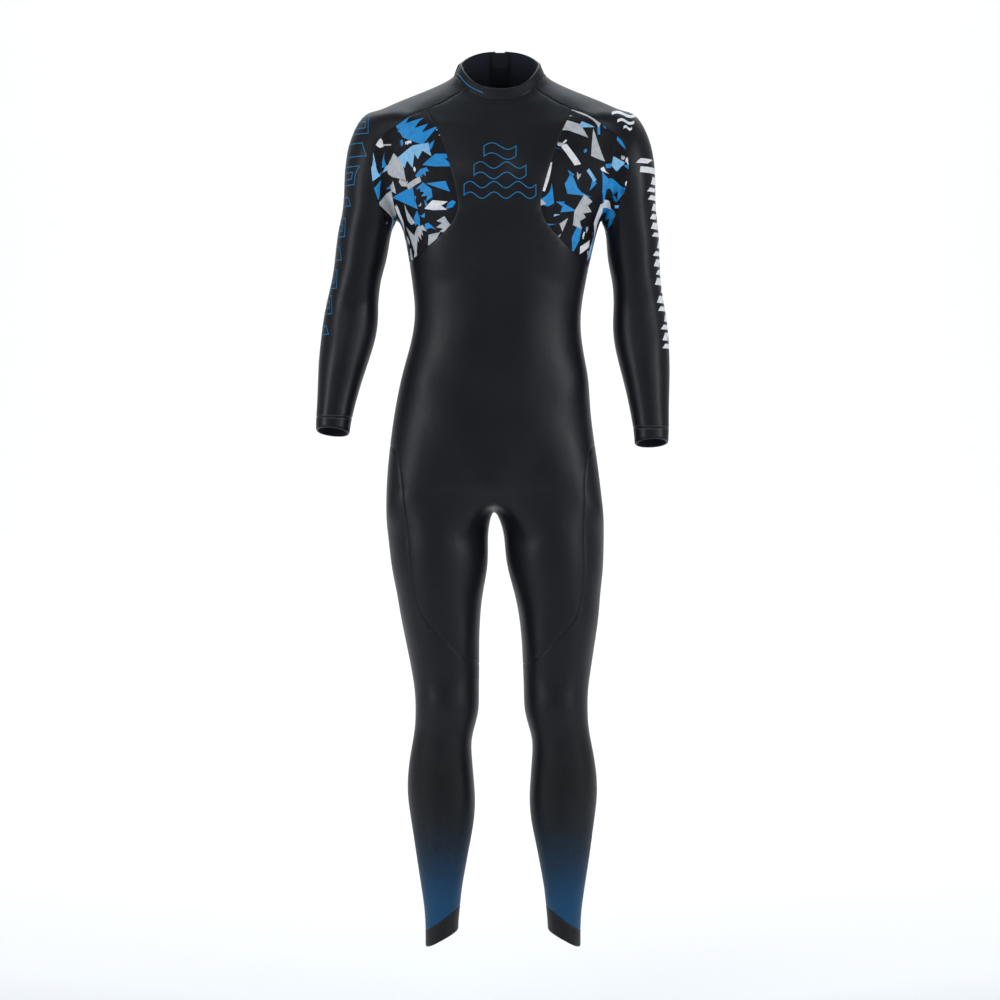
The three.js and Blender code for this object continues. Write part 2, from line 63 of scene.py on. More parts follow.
# height at the front, side and back, half width, depth in front and behind, draw at the centre line in
# front and behind, exponent of the superellipse; a depth of None follows the zip's arc
TORSO = [
    (-664, -690, -668, 179, 92, 121, 4, 24, 3.4),
    (-648, -655, -650, 177, 95, 130, 2, 18, 3.1),
    (-620, -620, -618, 174, 98, 134, 2, 13, 3.0),
    (-570, -570, -570, 168, 100, 131, 0, 7, 2.6),
    (-525, -525, -525, 162, 101, 119, 0, 3, 2.4),
    (-480, -480, -480, 156, 101, 104, 0, 0, 2.4),
    (-440, -440, -440, 148, 100, 89, 0, 0, 2.4),
    (-400, -400, -400, 140, 99, None, 0, 0, 2.4),
    (-360, -360, -360, 137, 99, None, 0, 0, 2.4),
    (-322, -322, -322, 141, 102, None, 0, 0, 2.4),
    (-285, -285, -285, 147, 107, None, 0, 0, 2.4),
    (-248, -248, -248, 154, 112, None, 0, 0, 2.4),
    (-215, -215, -215, 163, 116, None, 0, 0, 2.4),
    (-174, -172, -172, 181, 117, None, 0, 0, 2.4),
    (-138, -132, -132, 187, 112, None, 0, 0, 2.4),
    (-108, -97, -97, 193, 103, None, 0, 0, 2.4),
    (-82, -66, -70, 198, 93, None, 0, 0, 2.4),
    (-62, -24, -48, 200, 84, None, 0, 0, 2.4),
    (-50, -12, -30, 173, 78, None, 0, 0, 2.4),
    (-40, -2, -13, 148, 73, None, 0, 0, 2.4),
    (-31, 8, 3, 123, 69, None, 0, 0, 2.4),
    (-23, 18, 18, 100, 66, None, 0, 0, 2.4),
    (-16, 30, 33, 79, 63, None, 0, 0, 2.4),
    (-6, 42, 57, 71, 61, 71, 0, 0, 2.4),
    (5, 54, 82, 66, 60, 68, 0, 0, 2.4),
]
ARMPIT_ROW, SHOULDER_ROW = 12, 17  # rows of the torso below and above the armhole

# outer point and inner point seen from the front, depth centre, half depth, rise of the front edge
SLEEVE = [
    (222, -32, 171, -206, 8, 66, 0),
    (240, -62, 173, -210, 8, 66, 0),
    (251, -102, 176, -215, 8, 64, 0),
    (256, -143, 179, -223, 8, 62, 0),
    (259, -186, 182, -235, 9, 59, 0),
    (267, -224, 185, -252, 10, 57, 0),
    (272, -262, 190, -276, 11, 54, 0),
    (277, -300, 198, -306, 12, 52, 0),
    (286, -338, 201, -340, 13, 50, 0),
    (292, -372, 202, -372, 12, 50, 2),
    (296, -406, 207, -404, 8, 50, 5),
    (299, -440, 217, -438, 0, 47, 8),
    (300, -475, 228, -473, -9, 42, 10),
    (301, -510, 238, -510, -18, 37, 12),
    (302, -534, 244, -537, -25, 33, 13),
    (302, -553, 247, -558, -29, 31, 14),
]
# outer point and inner point seen from the front, front and back depth
LEG = [
    (179, -716, 11, -714, -88, 116),
    (177, -746, 14, -744, -88, 109),
    (174, -782, 17, -780, -87, 100),
    (168, -820, 26, -820, -84, 93),
    (163, -860, 32, -860, -80, 86),
    (156, -900, 35, -900, -75, 78),
    (149, -940, 36, -940, -70, 70),
    (143, -980, 37, -980, -68, 61),
    (142, -1012, 38, -1012, -67, 55),
    (143, -1038, 44, -1038, -62, 53),
    (147, -1064, 50, -1064, -56, 57),
    (152, -1092, 50, -1092, -52, 64),
    (156, -1125, 48, -1125, -49, 72),
    (156, -1160, 46, -1160, -47, 76),
    (151, -1198, 48, -1196, -45, 73),
    (145, -1240, 55, -1236, -43, 65),
    (139, -1280, 62, -1274, -41, 56),
    (133, -1318, 68, -1309, -39, 50),
    (129, -1352, 71, -1338, -38, 47),
    (128, -1380, 73, -1358, -38, 46),
    (128, -1403, 74, -1376, -39, 46),
]
# The hips stand a little to the wearer's right: the middle's shift at each height.
SWAY_Z = (-1420, -1250, -950, -870, -760, -640, -540, -430, -350, -250, 120)
SWAY_X = (5, 5, 2, 0, -5, -11, -13, -7, -3, 0, 0)
ARM_POSE = {1: (-3.2, 1.035), -1: (0.0, 1.0)}  # swing in degrees and reach, growing down the arm
SHOULDER = (215, -110)


def smoothstep(t):
    t = np.clip(t, 0, 1)
    return t * t * (3 - 2 * t)


def sway(z):
    return np.interp(z, SWAY_Z, SWAY_X)


def arc_y(z, level=0.0):
    return ARC_Y + np.sqrt((ARC_RADIUS + level) ** 2 - (z - ARC_Z) ** 2)


def power(t, n):
    return math.copysign(abs(t) ** (2 / n), t)


def arm_point(x, z, side):
    """Where the pose of one arm takes a point given for the right arm, seen from the front."""
    swing, reach = ARM_POSE[side]
    down = float(smoothstep((-z - 100) / 180))
    angle = math.radians(swing * down)
    dx, dz = x - SHOULDER[0], (z - SHOULDER[1]) * (1 + (reach - 1) * down)
    return (SHOULDER[0] + dx * math.cos(angle) - dz * math.sin(angle),
            SHOULDER[1] + dx * math.sin(angle) + dz * math.cos(angle))


def torso_point(row, column, offset=0.0):
    low = min(int(row), len(TORSO) - 2)
    part = row - low
    first, second = TORSO[low], TORSO[low + 1]

    def mix(i):
        return (first[i] or 0) * (1 - part) + (second[i] or 0) * part

    angle = 2 * math.pi * column / COLUMNS
    s, c = power(math.sin(angle), mix(8)), power(math.cos(angle), mix(8))
    end = mix(0) if c > 0 else mix(2)
    z = mix(1) + (end - mix(1)) * abs(math.cos(angle)) ** 1.3
    on_arc = first[5] is None or second[5] is None
    depth = mix(4) if c > 0 else (arc_y(mix(2)) if on_arc else mix(5))
    draw = mix(6) if c > 0 else mix(7)
    depth += offset - draw * max(0, abs(math.cos(angle)) * 4 - 3) ** 1.5
    return ((mix(3) + offset) * s + sway(z), -depth * c, z)


def limb_point(outer, inner, centre, half, degrees):
    angle = math.radians(degrees)
    along = -power(math.cos(angle), LIMB_POWER) / 2
    x = (outer[0] + inner[0]) / 2 + (outer[0] - inner[0]) * along
    z = (outer[1] + inner[1]) / 2 + (outer[1] - inner[1]) * along
    return x, centre - half * power(math.sin(angle), LIMB_POWER), z


def sleeve_point(ring, j, side):
    ox, oz, ix, iz, centre, half, rise = SLEEVE[ring]
    outer, inner = arm_point(ox, oz, side), arm_point(ix, iz, side)
    x, y, z = limb_point(outer, inner, centre, half, 360 * j / LIMB_POINTS)
    return x * side, y, z + rise / 2 * math.sin(2 * math.pi * j / LIMB_POINTS)


def leg_point(ring, i, side):
    ox, oz, ix, iz, front, back = LEG[ring]
    x, y, z = limb_point((ox, oz), (ix, iz), (front + back) / 2, (back - front) / 2, 60 + 20 * i)
    return x * side + sway(z), y, z


# ---------------------------------------------------------------------------------------- body surface
def body_cage():
    """Points and outward quads of the whole suit, open at the neck, wrists and ankles."""
    points, quads = [], []

    def add(p):
        points.append(p)
        return len(points) - 1

    def strip(upper, lower, flip):
        for j in range(len(upper)):
            k = (j + 1) % len(upper)
            quad = [lower[j], lower[k], upper[k], upper[j]]
            quads.append(quad[::-1] if flip else quad)

    def in_hole(column):
        c = COLUMNS - column if column > COLUMNS / 2 else column
        return HOLE_FRONT < c < HOLE_BACK

    torso = []
    for row in range(len(TORSO)):
        open_row = ARMPIT_ROW < row < SHOULDER_ROW
        torso.append([-1 if open_row and in_hole(c) else add(torso_point(row, c)) for c in range(COLUMNS)])
    for row in range(len(TORSO) - 1):
        for k in range(COLUMNS):
            if not (ARMPIT_ROW <= row < SHOULDER_ROW and in_hole(k + 0.5)):
                n = (k + 1) % COLUMNS
                quads.append([torso[row][k], torso[row][n], torso[row + 1][n], torso[row + 1][k]])

    front, back = np.array(points[torso[0][0]]), np.array(points[torso[0][COLUMNS // 2]])
    crotch = [add(tuple(back + (front - back) * n / 6 - np.array((0, 0, 20 * math.sin(math.pi * n / 6)))))
              for n in range(1, 6)]
    for side, _ in SIDES:
        def at(c):
            return c if side == 1 else (COLUMNS - c) % COLUMNS
        upper = [torso[0][at(i)] for i in range(COLUMNS // 2 + 1)] + crotch
        for ring in range(len(LEG)):
            lower = [add(leg_point(ring, i, side)) for i in range(LIMB_POINTS)]
            strip(upper, lower, side == -1)
            upper = lower
        upper = [torso[ARMPIT_ROW][at(c)] for c in range(HOLE_SIDE, HOLE_FRONT - 1, -1)]
        upper += [torso[r][at(HOLE_FRONT)] for r in range(ARMPIT_ROW + 1, SHOULDER_ROW)]
        upper += [torso[SHOULDER_ROW][at(c)] for c in range(HOLE_FRONT, HOLE_BACK + 1)]
        upper += [torso[r][at(HOLE_BACK)] for r in range(SHOULDER_ROW - 1, ARMPIT_ROW, -1)]
        upper += [torso[ARMPIT_ROW][at(c)] for c in range(HOLE_BACK, HOLE_SIDE, -1)]
        for ring in range(len(SLEEVE)):
            lower = [add(sleeve_point(ring, j, side)) for j in range(LIMB_POINTS)]
            strip(upper, lower, side == -1)
            upper = lower
    return np.array(points, float), quads


def refine(points, quads, levels=2):
    """The smooth surface through the cage's points."""
    mesh = bpy.data.meshes.new("cage")
    mesh.from_pydata([tuple(p) for p in points], [], quads)
    cage = bpy.data.objects.new("cage", mesh)
    bpy.context.scene.collection.objects.link(cage)
    modifier = cage.modifiers.new("smooth", "SUBSURF")
    modifier.levels = levels
    target = points.copy()
    for _ in range(3):
        bpy.context.view_layer.update()
        shape = cage.evaluated_get(bpy.context.evaluated_depsgraph_get()).to_mesh()
        smooth = np.empty(len(shape.vertices) * 3)
        shape.vertices.foreach_get("co", smooth)
        smooth = smooth.reshape(-1, 3)
        faces = [list(p.vertices) for p in shape.polygons]
        points = points + target - smooth[:len(target)]
        mesh.vertices.foreach_set("co", points.ravel())
        mesh.update()
    bpy.data.objects.remove(cage)
    bpy.data.meshes.remove(mesh)
    return smooth, faces


# ---------------------------------------------------------------------------------------------- panels
# Outlines of the regions seen from the front, as x and height on the wearer's left.
RAGLAN, TIP = (119, -29), (147, -276)
COLLAR_FRONT = [(74, 31), (52, 4), (26, -11), (0, -15)]
RAGLAN_FRONT = [(57, 10), (66, 0), (90, -14), RAGLAN]
RAGLAN_BACK = [(54, 32.3), (66, 10), (84, -30), (112, -85), (135, -140), (150, -178)]
PATTERN_INNER = [RAGLAN, (103, -62), (90, -96), (76, -144), (69, -177), (69, -199), (81, -222), (109, -248),
                 TIP]
PATTERN_OUTER = [RAGLAN, (143, -38), (180, -63), (200, -81), (208, -106), (210, -125), (207, -151),
                 (198, -180), (184, -219), (172, -241)]
PATTERN_BACK = [(172, -241), (184, -219), (187, -200), (168, -184), (150, -178)]
PATTERN_BACK_INNER = [(150, -178), (128, -198), (118, -235), (128, -262), TIP]
ARMHOLE = [(166, -232), (205, -5)]
SEAT = [(0, -412), (45, -425), (90, -455), (165, -498), (190, -512)]
THIGH = [(190, -574), (168, -577), (157, -594), (149, -640), (144, -714), (142, -780), (134, -833),
         (119, -865), (92, -894), (66, -921), (36, -937), (15, -943)]
HIP_FRONT = [(1, -715), (205, -573)]
HIP_BACK = [(0, -712), (30, -694), (75, -656), (130, -604), (160, -580), (190, -574)]
KNEE_Z = -960
ANKLE = [(40, -1316), (75, -1338), (120, -1370), (160, -1394)]
ELBOW = [(180, -333), (315, -355)]
WRIST = [(230, -533), (320, -529)]
GAP_TO_ARM = [(172, -241), (176, -262), (180, -300), (192, -380), (225, -560), (235, -700)]
ZIP_SLOT_SIDE, ZIP_SLOT_LOW = 8, -372
HIDDEN_SEAMS = [{"front_torso_panel", "inner_thigh_panel"}, {"outer_thigh_panel", "shin_panel"},
                {"upper_sleeve", "forearm_sleeve"}]


def smooth_line(points, steps=8):
    """A Catmull-Rom line through the points."""
    p = [np.array(q, float) for q in points]
    p = [2 * p[0] - p[1]] + p + [2 * p[-1] - p[-2]]
    line = []
    for i in range(1, len(p) - 2):
        for t in np.arange(steps) / steps:
            a, b, c, d = p[i - 1:i + 3]
            line.append(0.5 * (2 * b + (c - a) * t + (2 * a - 5 * b + 4 * c - d) * t * t
                               + (3 * b - a - 3 * c + d) * t ** 3))
    line.append(p[-2])
    return [tuple(q) for q in line]


def joined(*lines):
    outline = []
    for line in lines:
        outline += line if not outline or outline[-1] != line[0] else line[1:]
    return outline


def posed(outline, side, arm):
    if arm:
        outline = [arm_point(x, z, side) for x, z in outline]
        return np.array([(x * side, z) for x, z in outline])
    return np.array([(x * side + sway(z), z) for x, z in outline])


def outline_field(outline, x, z):
    """Distance to a closed outline, negative inside it."""
    a, b = outline, np.roll(outline, -1, axis=0)
    p = np.stack([x, z], -1)[:, None, :]
    ab, ap = (b - a)[None], p - a[None]
    t = np.clip((ap * ab).sum(-1) / np.maximum((ab * ab).sum(-1), 1e-9), 0, 1)
    distance = np.sqrt(((ap - ab * t[..., None]) ** 2).sum(-1).min(1))
    above = a[None, :, 1] > p[..., 1]
    crosses = above != (b[None, :, 1] > p[..., 1])
    with np.errstate(divide="ignore", invalid="ignore"):
        at = a[None, :, 0] + (p[..., 1] - a[None, :, 1]) * ab[..., 0] / ab[..., 1]
    inside = (crosses & (p[..., 0] < at)).sum(1) % 2 == 1
    return np.where(inside, -distance, distance)


def regions():
    """Of each region: name, outline, half ("front" or "back"), and whether it follows the arm's pose."""
    curve = smooth_line
    far, low = 420, -1500
    mirror = [(-x, z) for x, z in curve(COLLAR_FRONT)]
    collar_left, collar_right = [(-100, 120), (-100, 31)], [(100, 31), (100, 120)]
    collar_front = joined(collar_left, mirror, curve(COLLAR_FRONT)[::-1], collar_right)
    collar_back = joined(collar_left, [(-74, 31), (0, 33), (74, 31)], collar_right)
    arm_outside = [(235, -700), (far, -700), (far, 100)]
    below_tip = [(175, -300), (176, -262)]
    pattern_front = joined(curve(PATTERN_INNER), below_tip, curve(PATTERN_OUTER)[::-1])
    sleeve_front = joined(curve(RAGLAN_FRONT), curve(PATTERN_OUTER), GAP_TO_ARM, arm_outside, [(57, 100)])
    pattern_back = joined(curve(PATTERN_BACK), curve(PATTERN_BACK_INNER), below_tip)
    sleeve_back = joined(curve(RAGLAN_BACK), curve(PATTERN_BACK)[::-1], GAP_TO_ARM, arm_outside, [(54, 100)])
    armhole = ARMHOLE + [(far, -5), (far, -300), (154.3, -300)]
    elbow = ELBOW + [(far, -372), (far, -620), (218, -620), (206, -480), (190, -380)]
    wrist = WRIST + [(far, -529), (far, -620), (224, -620)]
    back = joined([(0, 33)], [(0, -412)], curve(SEAT), [(190, 33)])
    thigh = joined(curve(THIGH), [(0, -950), (0, low), (300, low), (300, -574)])
    hip_front = HIP_FRONT + [(300, -573), (300, low), (1, low)]
    hip_back = joined(curve(HIP_BACK), [(300, -574), (300, low), (0, low)])
    knee = [(0, KNEE_Z), (300, KNEE_Z), (300, low), (0, low)]
    ankle = joined(curve(ANKLE), [(300, -1450), (300, low), (0, low), (0, -1316)])
    table = [
        ("collar", collar_front, collar_back, False),
        ("wrist_cuff", wrist, wrist, True),
        ("forearm_sleeve", elbow, elbow, True),
        ("pattern", pattern_front, pattern_back, True),
        ("armhole", armhole, armhole, True),
        ("upper_sleeve", sleeve_front, sleeve_back, True),
        ("ankle_cuff", ankle, ankle, False),
        ("shin_panel", knee, None, False),
        ("calf_panel", None, knee, False),
        ("outer_thigh_panel", thigh, None, False),
        ("inner_thigh_panel", hip_front, None, False),
        ("outer_thigh_panel", None, hip_back, False),
        ("back_panel", None, back, False),
    ]
    return [(name, outline, half, arm) for name, front, back_outline, arm in table
            for outline, half in ((front, "front"), (back_outline, "back")) if outline]


def slope_of(field, points, step=0.05):
    shifts = np.eye(3) * step
    return np.stack([(field(points + d) - field(points - d)) / (2 * step) for d in shifts], -1)


FAR_OFF = 1e9  # the field's value where it isn't measured
SNAP = 2.2  # a point nearer to a line than this is moved onto it
SNAP_FIXED = 0.9  # a point that can't move counts as on the line within this
ON_LINE = 0.02
FLATTEST = 0.3  # a field whose slope along the surface, squared, is below this moves no point
HALVINGS = 14  # steps that home in on where an edge crosses a line


class Surface:
    """The suit's surface, with every region's outline cut into its mesh."""

    def __init__(self, points, faces):
        mesh = bpy.data.meshes.new("surface")
        mesh.from_pydata(points, [], faces)
        self.bm = bmesh.new()
        self.bm.from_mesh(mesh)
        bpy.data.meshes.remove(mesh)
        self.locked = self.bm.verts.layers.int.new("locked")
        self.up = self.bm.verts.layers.float_vector.new("up")
        self.bm.normal_update()
        for v in self.bm.verts:
            v[self.up] = v.normal

    def points(self):
        self.bm.verts.ensure_lookup_table()
        self.bm.verts.index_update()
        return np.array([v.co for v in self.bm.verts])

    def cut(self, field, near, half):
        """Cuts along the zero line of a field of points, where near allows, in the front or the back half."""
        bm = self.bm

        def measure():
            points = self.points()
            value = np.full(len(points), FAR_OFF)
            chosen = np.nonzero(near(points))[0]
            value[chosen] = field(points[chosen])
            return points, value, chosen

        def in_half(y, slack=1e-3):
            if half is None:
                return y == y
            return y <= SIDE + slack if half == "front" else y >= SIDE - slack

        points, value, chosen = measure()
        close = chosen[(np.abs(value[chosen]) < SNAP) & in_half(points[chosen, 1])]
        for i, g in zip(close, slope_of(field, points[close])):
            v = bm.verts[i]
            if v[self.locked] or v.is_boundary:
                if abs(value[i]) < SNAP_FIXED:
                    value[i] = 0
                continue
            n = np.array(v[self.up])
            g = g - n * (g @ n)
            if g @ g < FLATTEST:
                continue
            v.co = points[i] - g * value[i] / (g @ g)
            points[i] = v.co
            value[i] = 0
            v[self.locked] = 1
        value[np.abs(value) < ON_LINE] = 0
        bm.edges.ensure_lookup_table()
        ends = np.array([(e.verts[0].index, e.verts[1].index) for e in bm.edges])
        a, b = value[ends[:, 0]], value[ends[:, 1]]
        hit = np.nonzero((a * b < 0) & (a < FAR_OFF) & (b < FAR_OFF))[0]
        if len(hit):
            pa, pb = points[ends[hit, 0]], points[ends[hit, 1]]
            ok = in_half(pa[:, 1]) & in_half(pb[:, 1])
            hit, pa, pb = hit[ok], pa[ok], pb[ok]
        if len(hit):
            low, high = np.zeros(len(hit)), np.ones(len(hit))
            start = value[ends[hit, 0]]
            for _ in range(HALVINGS):
                middle = (low + high) / 2
                same = field(pa + (pb - pa) * middle[:, None]) * start > 0
                low, high = np.where(same, middle, low), np.where(same, high, middle)
            crossing = [(bm.edges[i], bm.verts[ends[i, 0]]) for i in hit]
            for (e, v), t in zip(crossing, (low + high) / 2):
                _, v = bmesh.utils.edge_split(e, v, float(t))
                v[self.locked] = 1
        points, value, chosen = measure()
        on = [bm.verts[i] for i in chosen
              if abs(value[i]) < (SNAP_FIXED if bm.verts[i][self.locked] else ON_LINE)
              and in_half(bm.verts[i].co.y)]
        bmesh.ops.connect_verts(bm, verts=on, check_degenerate=True)


def drop_strays(bm, panel):
    """Gives each face that is cut off from the rest of its panel to the panel around it."""
    seen, groups = set(), {}
    for face in bm.faces:
        if face.index in seen:
            continue
        group, todo = [], [face]
        seen.add(face.index)
        while todo:
            f = todo.pop()
            group.append(f)
            for e in f.edges:
                for g in e.link_faces:
                    if g.index not in seen and panel[g.index] == panel[f.index]:
                        seen.add(g.index)
                        todo.append(g)
        groups.setdefault(panel[face.index], []).append(group)
    for parts in groups.values():
        for group in sorted(parts, key=len)[:-1]:
            mine = panel[group[0].index]
            around = [panel[g.index] for f in group for e in f.edges for g in e.link_faces
                      if panel[g.index] != mine]
            for f in group:
                panel[f.index] = max(sorted(set(around)), key=around.count)


# The first of these that holds a face names it.
PANEL_ORDER = ("collar", "wrist_cuff", "forearm_sleeve", "underarm_panel", "chest_panel", "upper_sleeve",
               "ankle_cuff", "shin_panel", "calf_panel", "outer_thigh_panel", "inner_thigh_panel",
               "back_panel")


def cut_panels(points, faces):
    """Points, faces, and the panel's name for each face."""
    surface = Surface(points, faces)
    surface.cut(lambda p: p[:, 1] - SIDE, lambda p: np.abs(p[:, 1] - SIDE) < 30, None)
    labels = []
    for side, _ in SIDES:
        for name, outline, half, arm in regions():
            line = posed(outline, side, arm)
            labels.append((side, name, half, line))
            if name == "collar" and side == -1:
                continue
            low, high = line.min(0) - 15, line.max(0) + 15

            def near(p, low=low, high=high):
                return (p[:, 0] > low[0]) & (p[:, 0] < high[0]) & (p[:, 2] > low[1]) & (p[:, 2] < high[1])

            surface.cut(lambda p, line=line: outline_field(line, p[:, 0], p[:, 2]), near, half)
    surface.cut(lambda p: np.abs(p[:, 0]) - ZIP_SLOT_SIDE,
                lambda p: (np.abs(p[:, 0]) < 40) & (p[:, 2] > ZIP_SLOT_LOW - 28), "back")
    surface.cut(lambda p: p[:, 2] - ZIP_SLOT_LOW,
                lambda p: (np.abs(p[:, 0]) < 30) & (np.abs(p[:, 2] - ZIP_SLOT_LOW) < 25), "back")
    bm = surface.bm
    bm.normal_update()
    bm.verts.index_update()
    bm.faces.ensure_lookup_table()
    centres = np.array([f.calc_center_median() for f in bm.faces])
    front = centres[:, 1] < SIDE
    panel = np.where(front, "front_torso_panel", "seat_panel").astype(object)
    for side, word in SIDES:
        names = {}
        for label_side, name, half, line in labels:
            if label_side == side:
                inside = outline_field(line, centres[:, 0], centres[:, 2]) < 0
                names.setdefault(name, np.zeros(len(centres), bool))
                names[name] |= inside & (front == (half == "front"))
        names["underarm_panel"] = names["pattern"] & names["armhole"]
        names["chest_panel"] = names["pattern"]
        mine = (centres[:, 0] - sway(centres[:, 2])) * side > 0
        taken = np.zeros(len(centres), bool)
        for name in PANEL_ORDER:
            mask = names[name] & mine & ~taken
            panel[mask] = name if name == "collar" else f"{word}_{name}"
            taken |= mask
    in_slot = ~front & (np.abs(centres[:, 0]) < ZIP_SLOT_SIDE) & (centres[:, 2] > ZIP_SLOT_LOW)
    panel[in_slot] = "slot"
    drop_strays(bm, panel)
    coords = np.array([v.co for v in bm.verts])
    normals = np.array([v[surface.up] for v in bm.verts])
    polygons = [[v.index for v in f.verts] for f in bm.faces]
    bm.free()
    return coords, normals, polygons, panel


# ---------------------------------------------------------------------------------------- body relief
def bump(p, centre, size, height, turn=0.0):
    """A rounded swelling in the front view; centre is x, y and height, and turn leans it, in degrees."""
    d = p - np.array(centre, float)
    c, s = math.cos(math.radians(turn)), math.sin(math.radians(turn))
    u, w = d[:, 0] * c + d[:, 2] * s, -d[:, 0] * s + d[:, 2] * c
    return height * np.exp(-(u / size[0]) ** 2 - (d[:, 1] / size[1]) ** 2 - (w / size[2]) ** 2)


# Swellings and hollows on both sides: x on the wearer's left, shift of the body's middle, y, height, size,
# how far they rise, and their lean in degrees.
PAIRED_FORMS = [
    (62, 0, -100, -128, (46, 60, 40), 5.0, -12),  # chest
    (60, 0, -100, -178, (52, 60, 15), -2.6, -10),  # below the chest
    (118, 0, -70, -60, (20, 60, 60), -2.6, 22),  # front of the shoulder
    (235, 0, 0, -95, (34, 70, 60), 3.2, -8),  # deltoid
    (232, 0, -40, -255, (24, 60, 62), 2.6, -5),  # upper arm
    (238, 0, -30, -345, (40, 60, 16), -2.2, 0),  # above the elbow
    (256, 0, -30, -410, (26, 60, 42), 2.4, -4),  # forearm
    (102, 0, -90, -265, (34, 60, 30), 2.4, -30),  # lower ribs
    (70, 0, -95, -300, (46, 60, 14), -2.0, -28),  # below the ribs
    (42, 0, -95, -380, (26, 60, 66), 2.2, 0),  # belly
    (128, 0, -60, -470, (24, 60, 34), 2.8, -26),  # hip bone
    (66, -12, -90, -622, (26, 60, 66), -3.0, -38),  # groin
    (104, -8, -80, -740, (40, 60, 78), 3.6, 8),  # front of the thigh
    (62, 0, -70, -900, (20, 50, 40), 3.0, 14),  # inner thigh above the knee
    (128, 0, -70, -915, (16, 50, 50), 1.8, -8),  # outer thigh above the knee
    (93, 0, -70, -962, (30, 50, 16), -1.4, 0),  # above the kneecap
    (93, 0, -66, -1004, (28, 50, 30), 3.4, 0),  # kneecap
    (94, 0, -60, -1050, (32, 50, 18), -1.6, 0),  # below the kneecap
    (96, 0, -54, -1082, (12, 40, 20), 2.6, 0),  # top of the shin
    (104, 0, -50, -1190, (12, 40, 90), 2.0, 2),  # shin
    (62, 0, -20, -1150, (20, 50, 60), 2.4, 0),  # inner calf
    (78, 0, 90, -90, (46, 60, 52), 4.0, 16),  # shoulder blade
    (74, 0, 90, -172, (50, 60, 16), -2.4, 12),  # below the shoulder blade
    (40, 0, 90, -380, (22, 60, 80), 2.4, 0),  # small of the back
    (74, -10, 130, -560, (52, 60, 56), 7.0, 0),  # seat
    (74, -8, 120, -656, (54, 60, 15), -5.0, 10),  # below the seat
    (94, 0, 100, -800, (36, 60, 90), 3.2, 0),  # back of the thigh
    (92, 0, 60, -1030, (26, 50, 26), -3.0, 0),  # hollow of the knee
    (74, 0, 75, -1140, (20, 50, 60), 3.2, 3),  # inner head of the calf
    (122, 0, 75, -1126, (18, 50, 52), 2.6, -3),  # outer head of the calf
    (214, 0, 60, -250, (30, 60, 74), 2.6, -5),  # back of the upper arm
    (240, 0, 70, -372, (22, 40, 22), 3.4, 0),  # elbow
]
# Those on the middle line: x, y, height, size, and how far they rise.
MIDDLE_FORMS = [
    (0, -110, -140, (12, 60, 60), -3.2),  # breastbone
    (0, -100, -330, (9, 60, 110), -1.8),  # middle of the belly
    (-12, -100, -640, (34, 60, 34), 9.0),  # front of the pelvis
    (-11, 140, -600, (11, 60, 66), -7.0),  # between the seat's halves
]


def relief(p):
    """Height of the body's forms over the smooth surface."""
    h = np.zeros(len(p))
    for s in (1, -1):
        for x, shift, y, z, size, rise, lean in PAIRED_FORMS:
            h += bump(p, (s * x + shift, y, z), size, rise, s * lean)
    for x, y, z, size, rise in MIDDLE_FORMS:
        h += bump(p, (x, y, z), size, rise)
    return h


def shaped(points, faces):
    mesh = bpy.data.meshes.new("shape")
    mesh.from_pydata(points, [], faces)
    normals = np.array([v.normal for v in mesh.vertices])
    bpy.data.meshes.remove(mesh)
    return points + normals * relief(points)[:, None]


# ---------------------------------------------------------------------------------------- panel meshes
SHEET, THIN_SHEET = 3.2, 1.6
THIN_PANELS = ("upper_sleeve", "underarm")
SEAM, HIDDEN, RIM = 1, 2, 3
# width of a panel's rounded border, how far it sinks, and how far its normals lean outwards
WIDTH = {SEAM: 1.7, HIDDEN: 1.7, RIM: 2.8}
DROP = {SEAM: 0.8, HIDDEN: 0.0, RIM: 1.1}
TILT = {SEAM: 0.5, HIDDEN: 0.0, RIM: 0.9}


def unit(v):
    return v / np.maximum(np.linalg.norm(v, axis=-1, keepdims=True), 1e-12)


def border_kinds(polygons, panel):
    """What the edges between panels are at each point that lies on one: a rim, a seam or a hidden seam."""
    faces_of = {}
    for i, p in enumerate(polygons):
        for a, b in zip(p, p[1:] + p[:1]):
            faces_of.setdefault((min(a, b), max(a, b)), []).append(i)
    kinds = {}
    for edge, faces in faces_of.items():
        names = {panel[i] for i in faces}
        if len(faces) == 1 or "slot" in names:
            kind = RIM
        elif len(names) == 1:
            continue
        else:
            bare = {n.replace("left_", "").replace("right_", "") for n in names}
            kind = HIDDEN if bare in HIDDEN_SEAMS else SEAM
        for v in edge:
            kinds.setdefault(v, set()).add(kind)
    return {v: RIM if RIM in k else SEAM if SEAM in k else HIDDEN for v, k in kinds.items()}


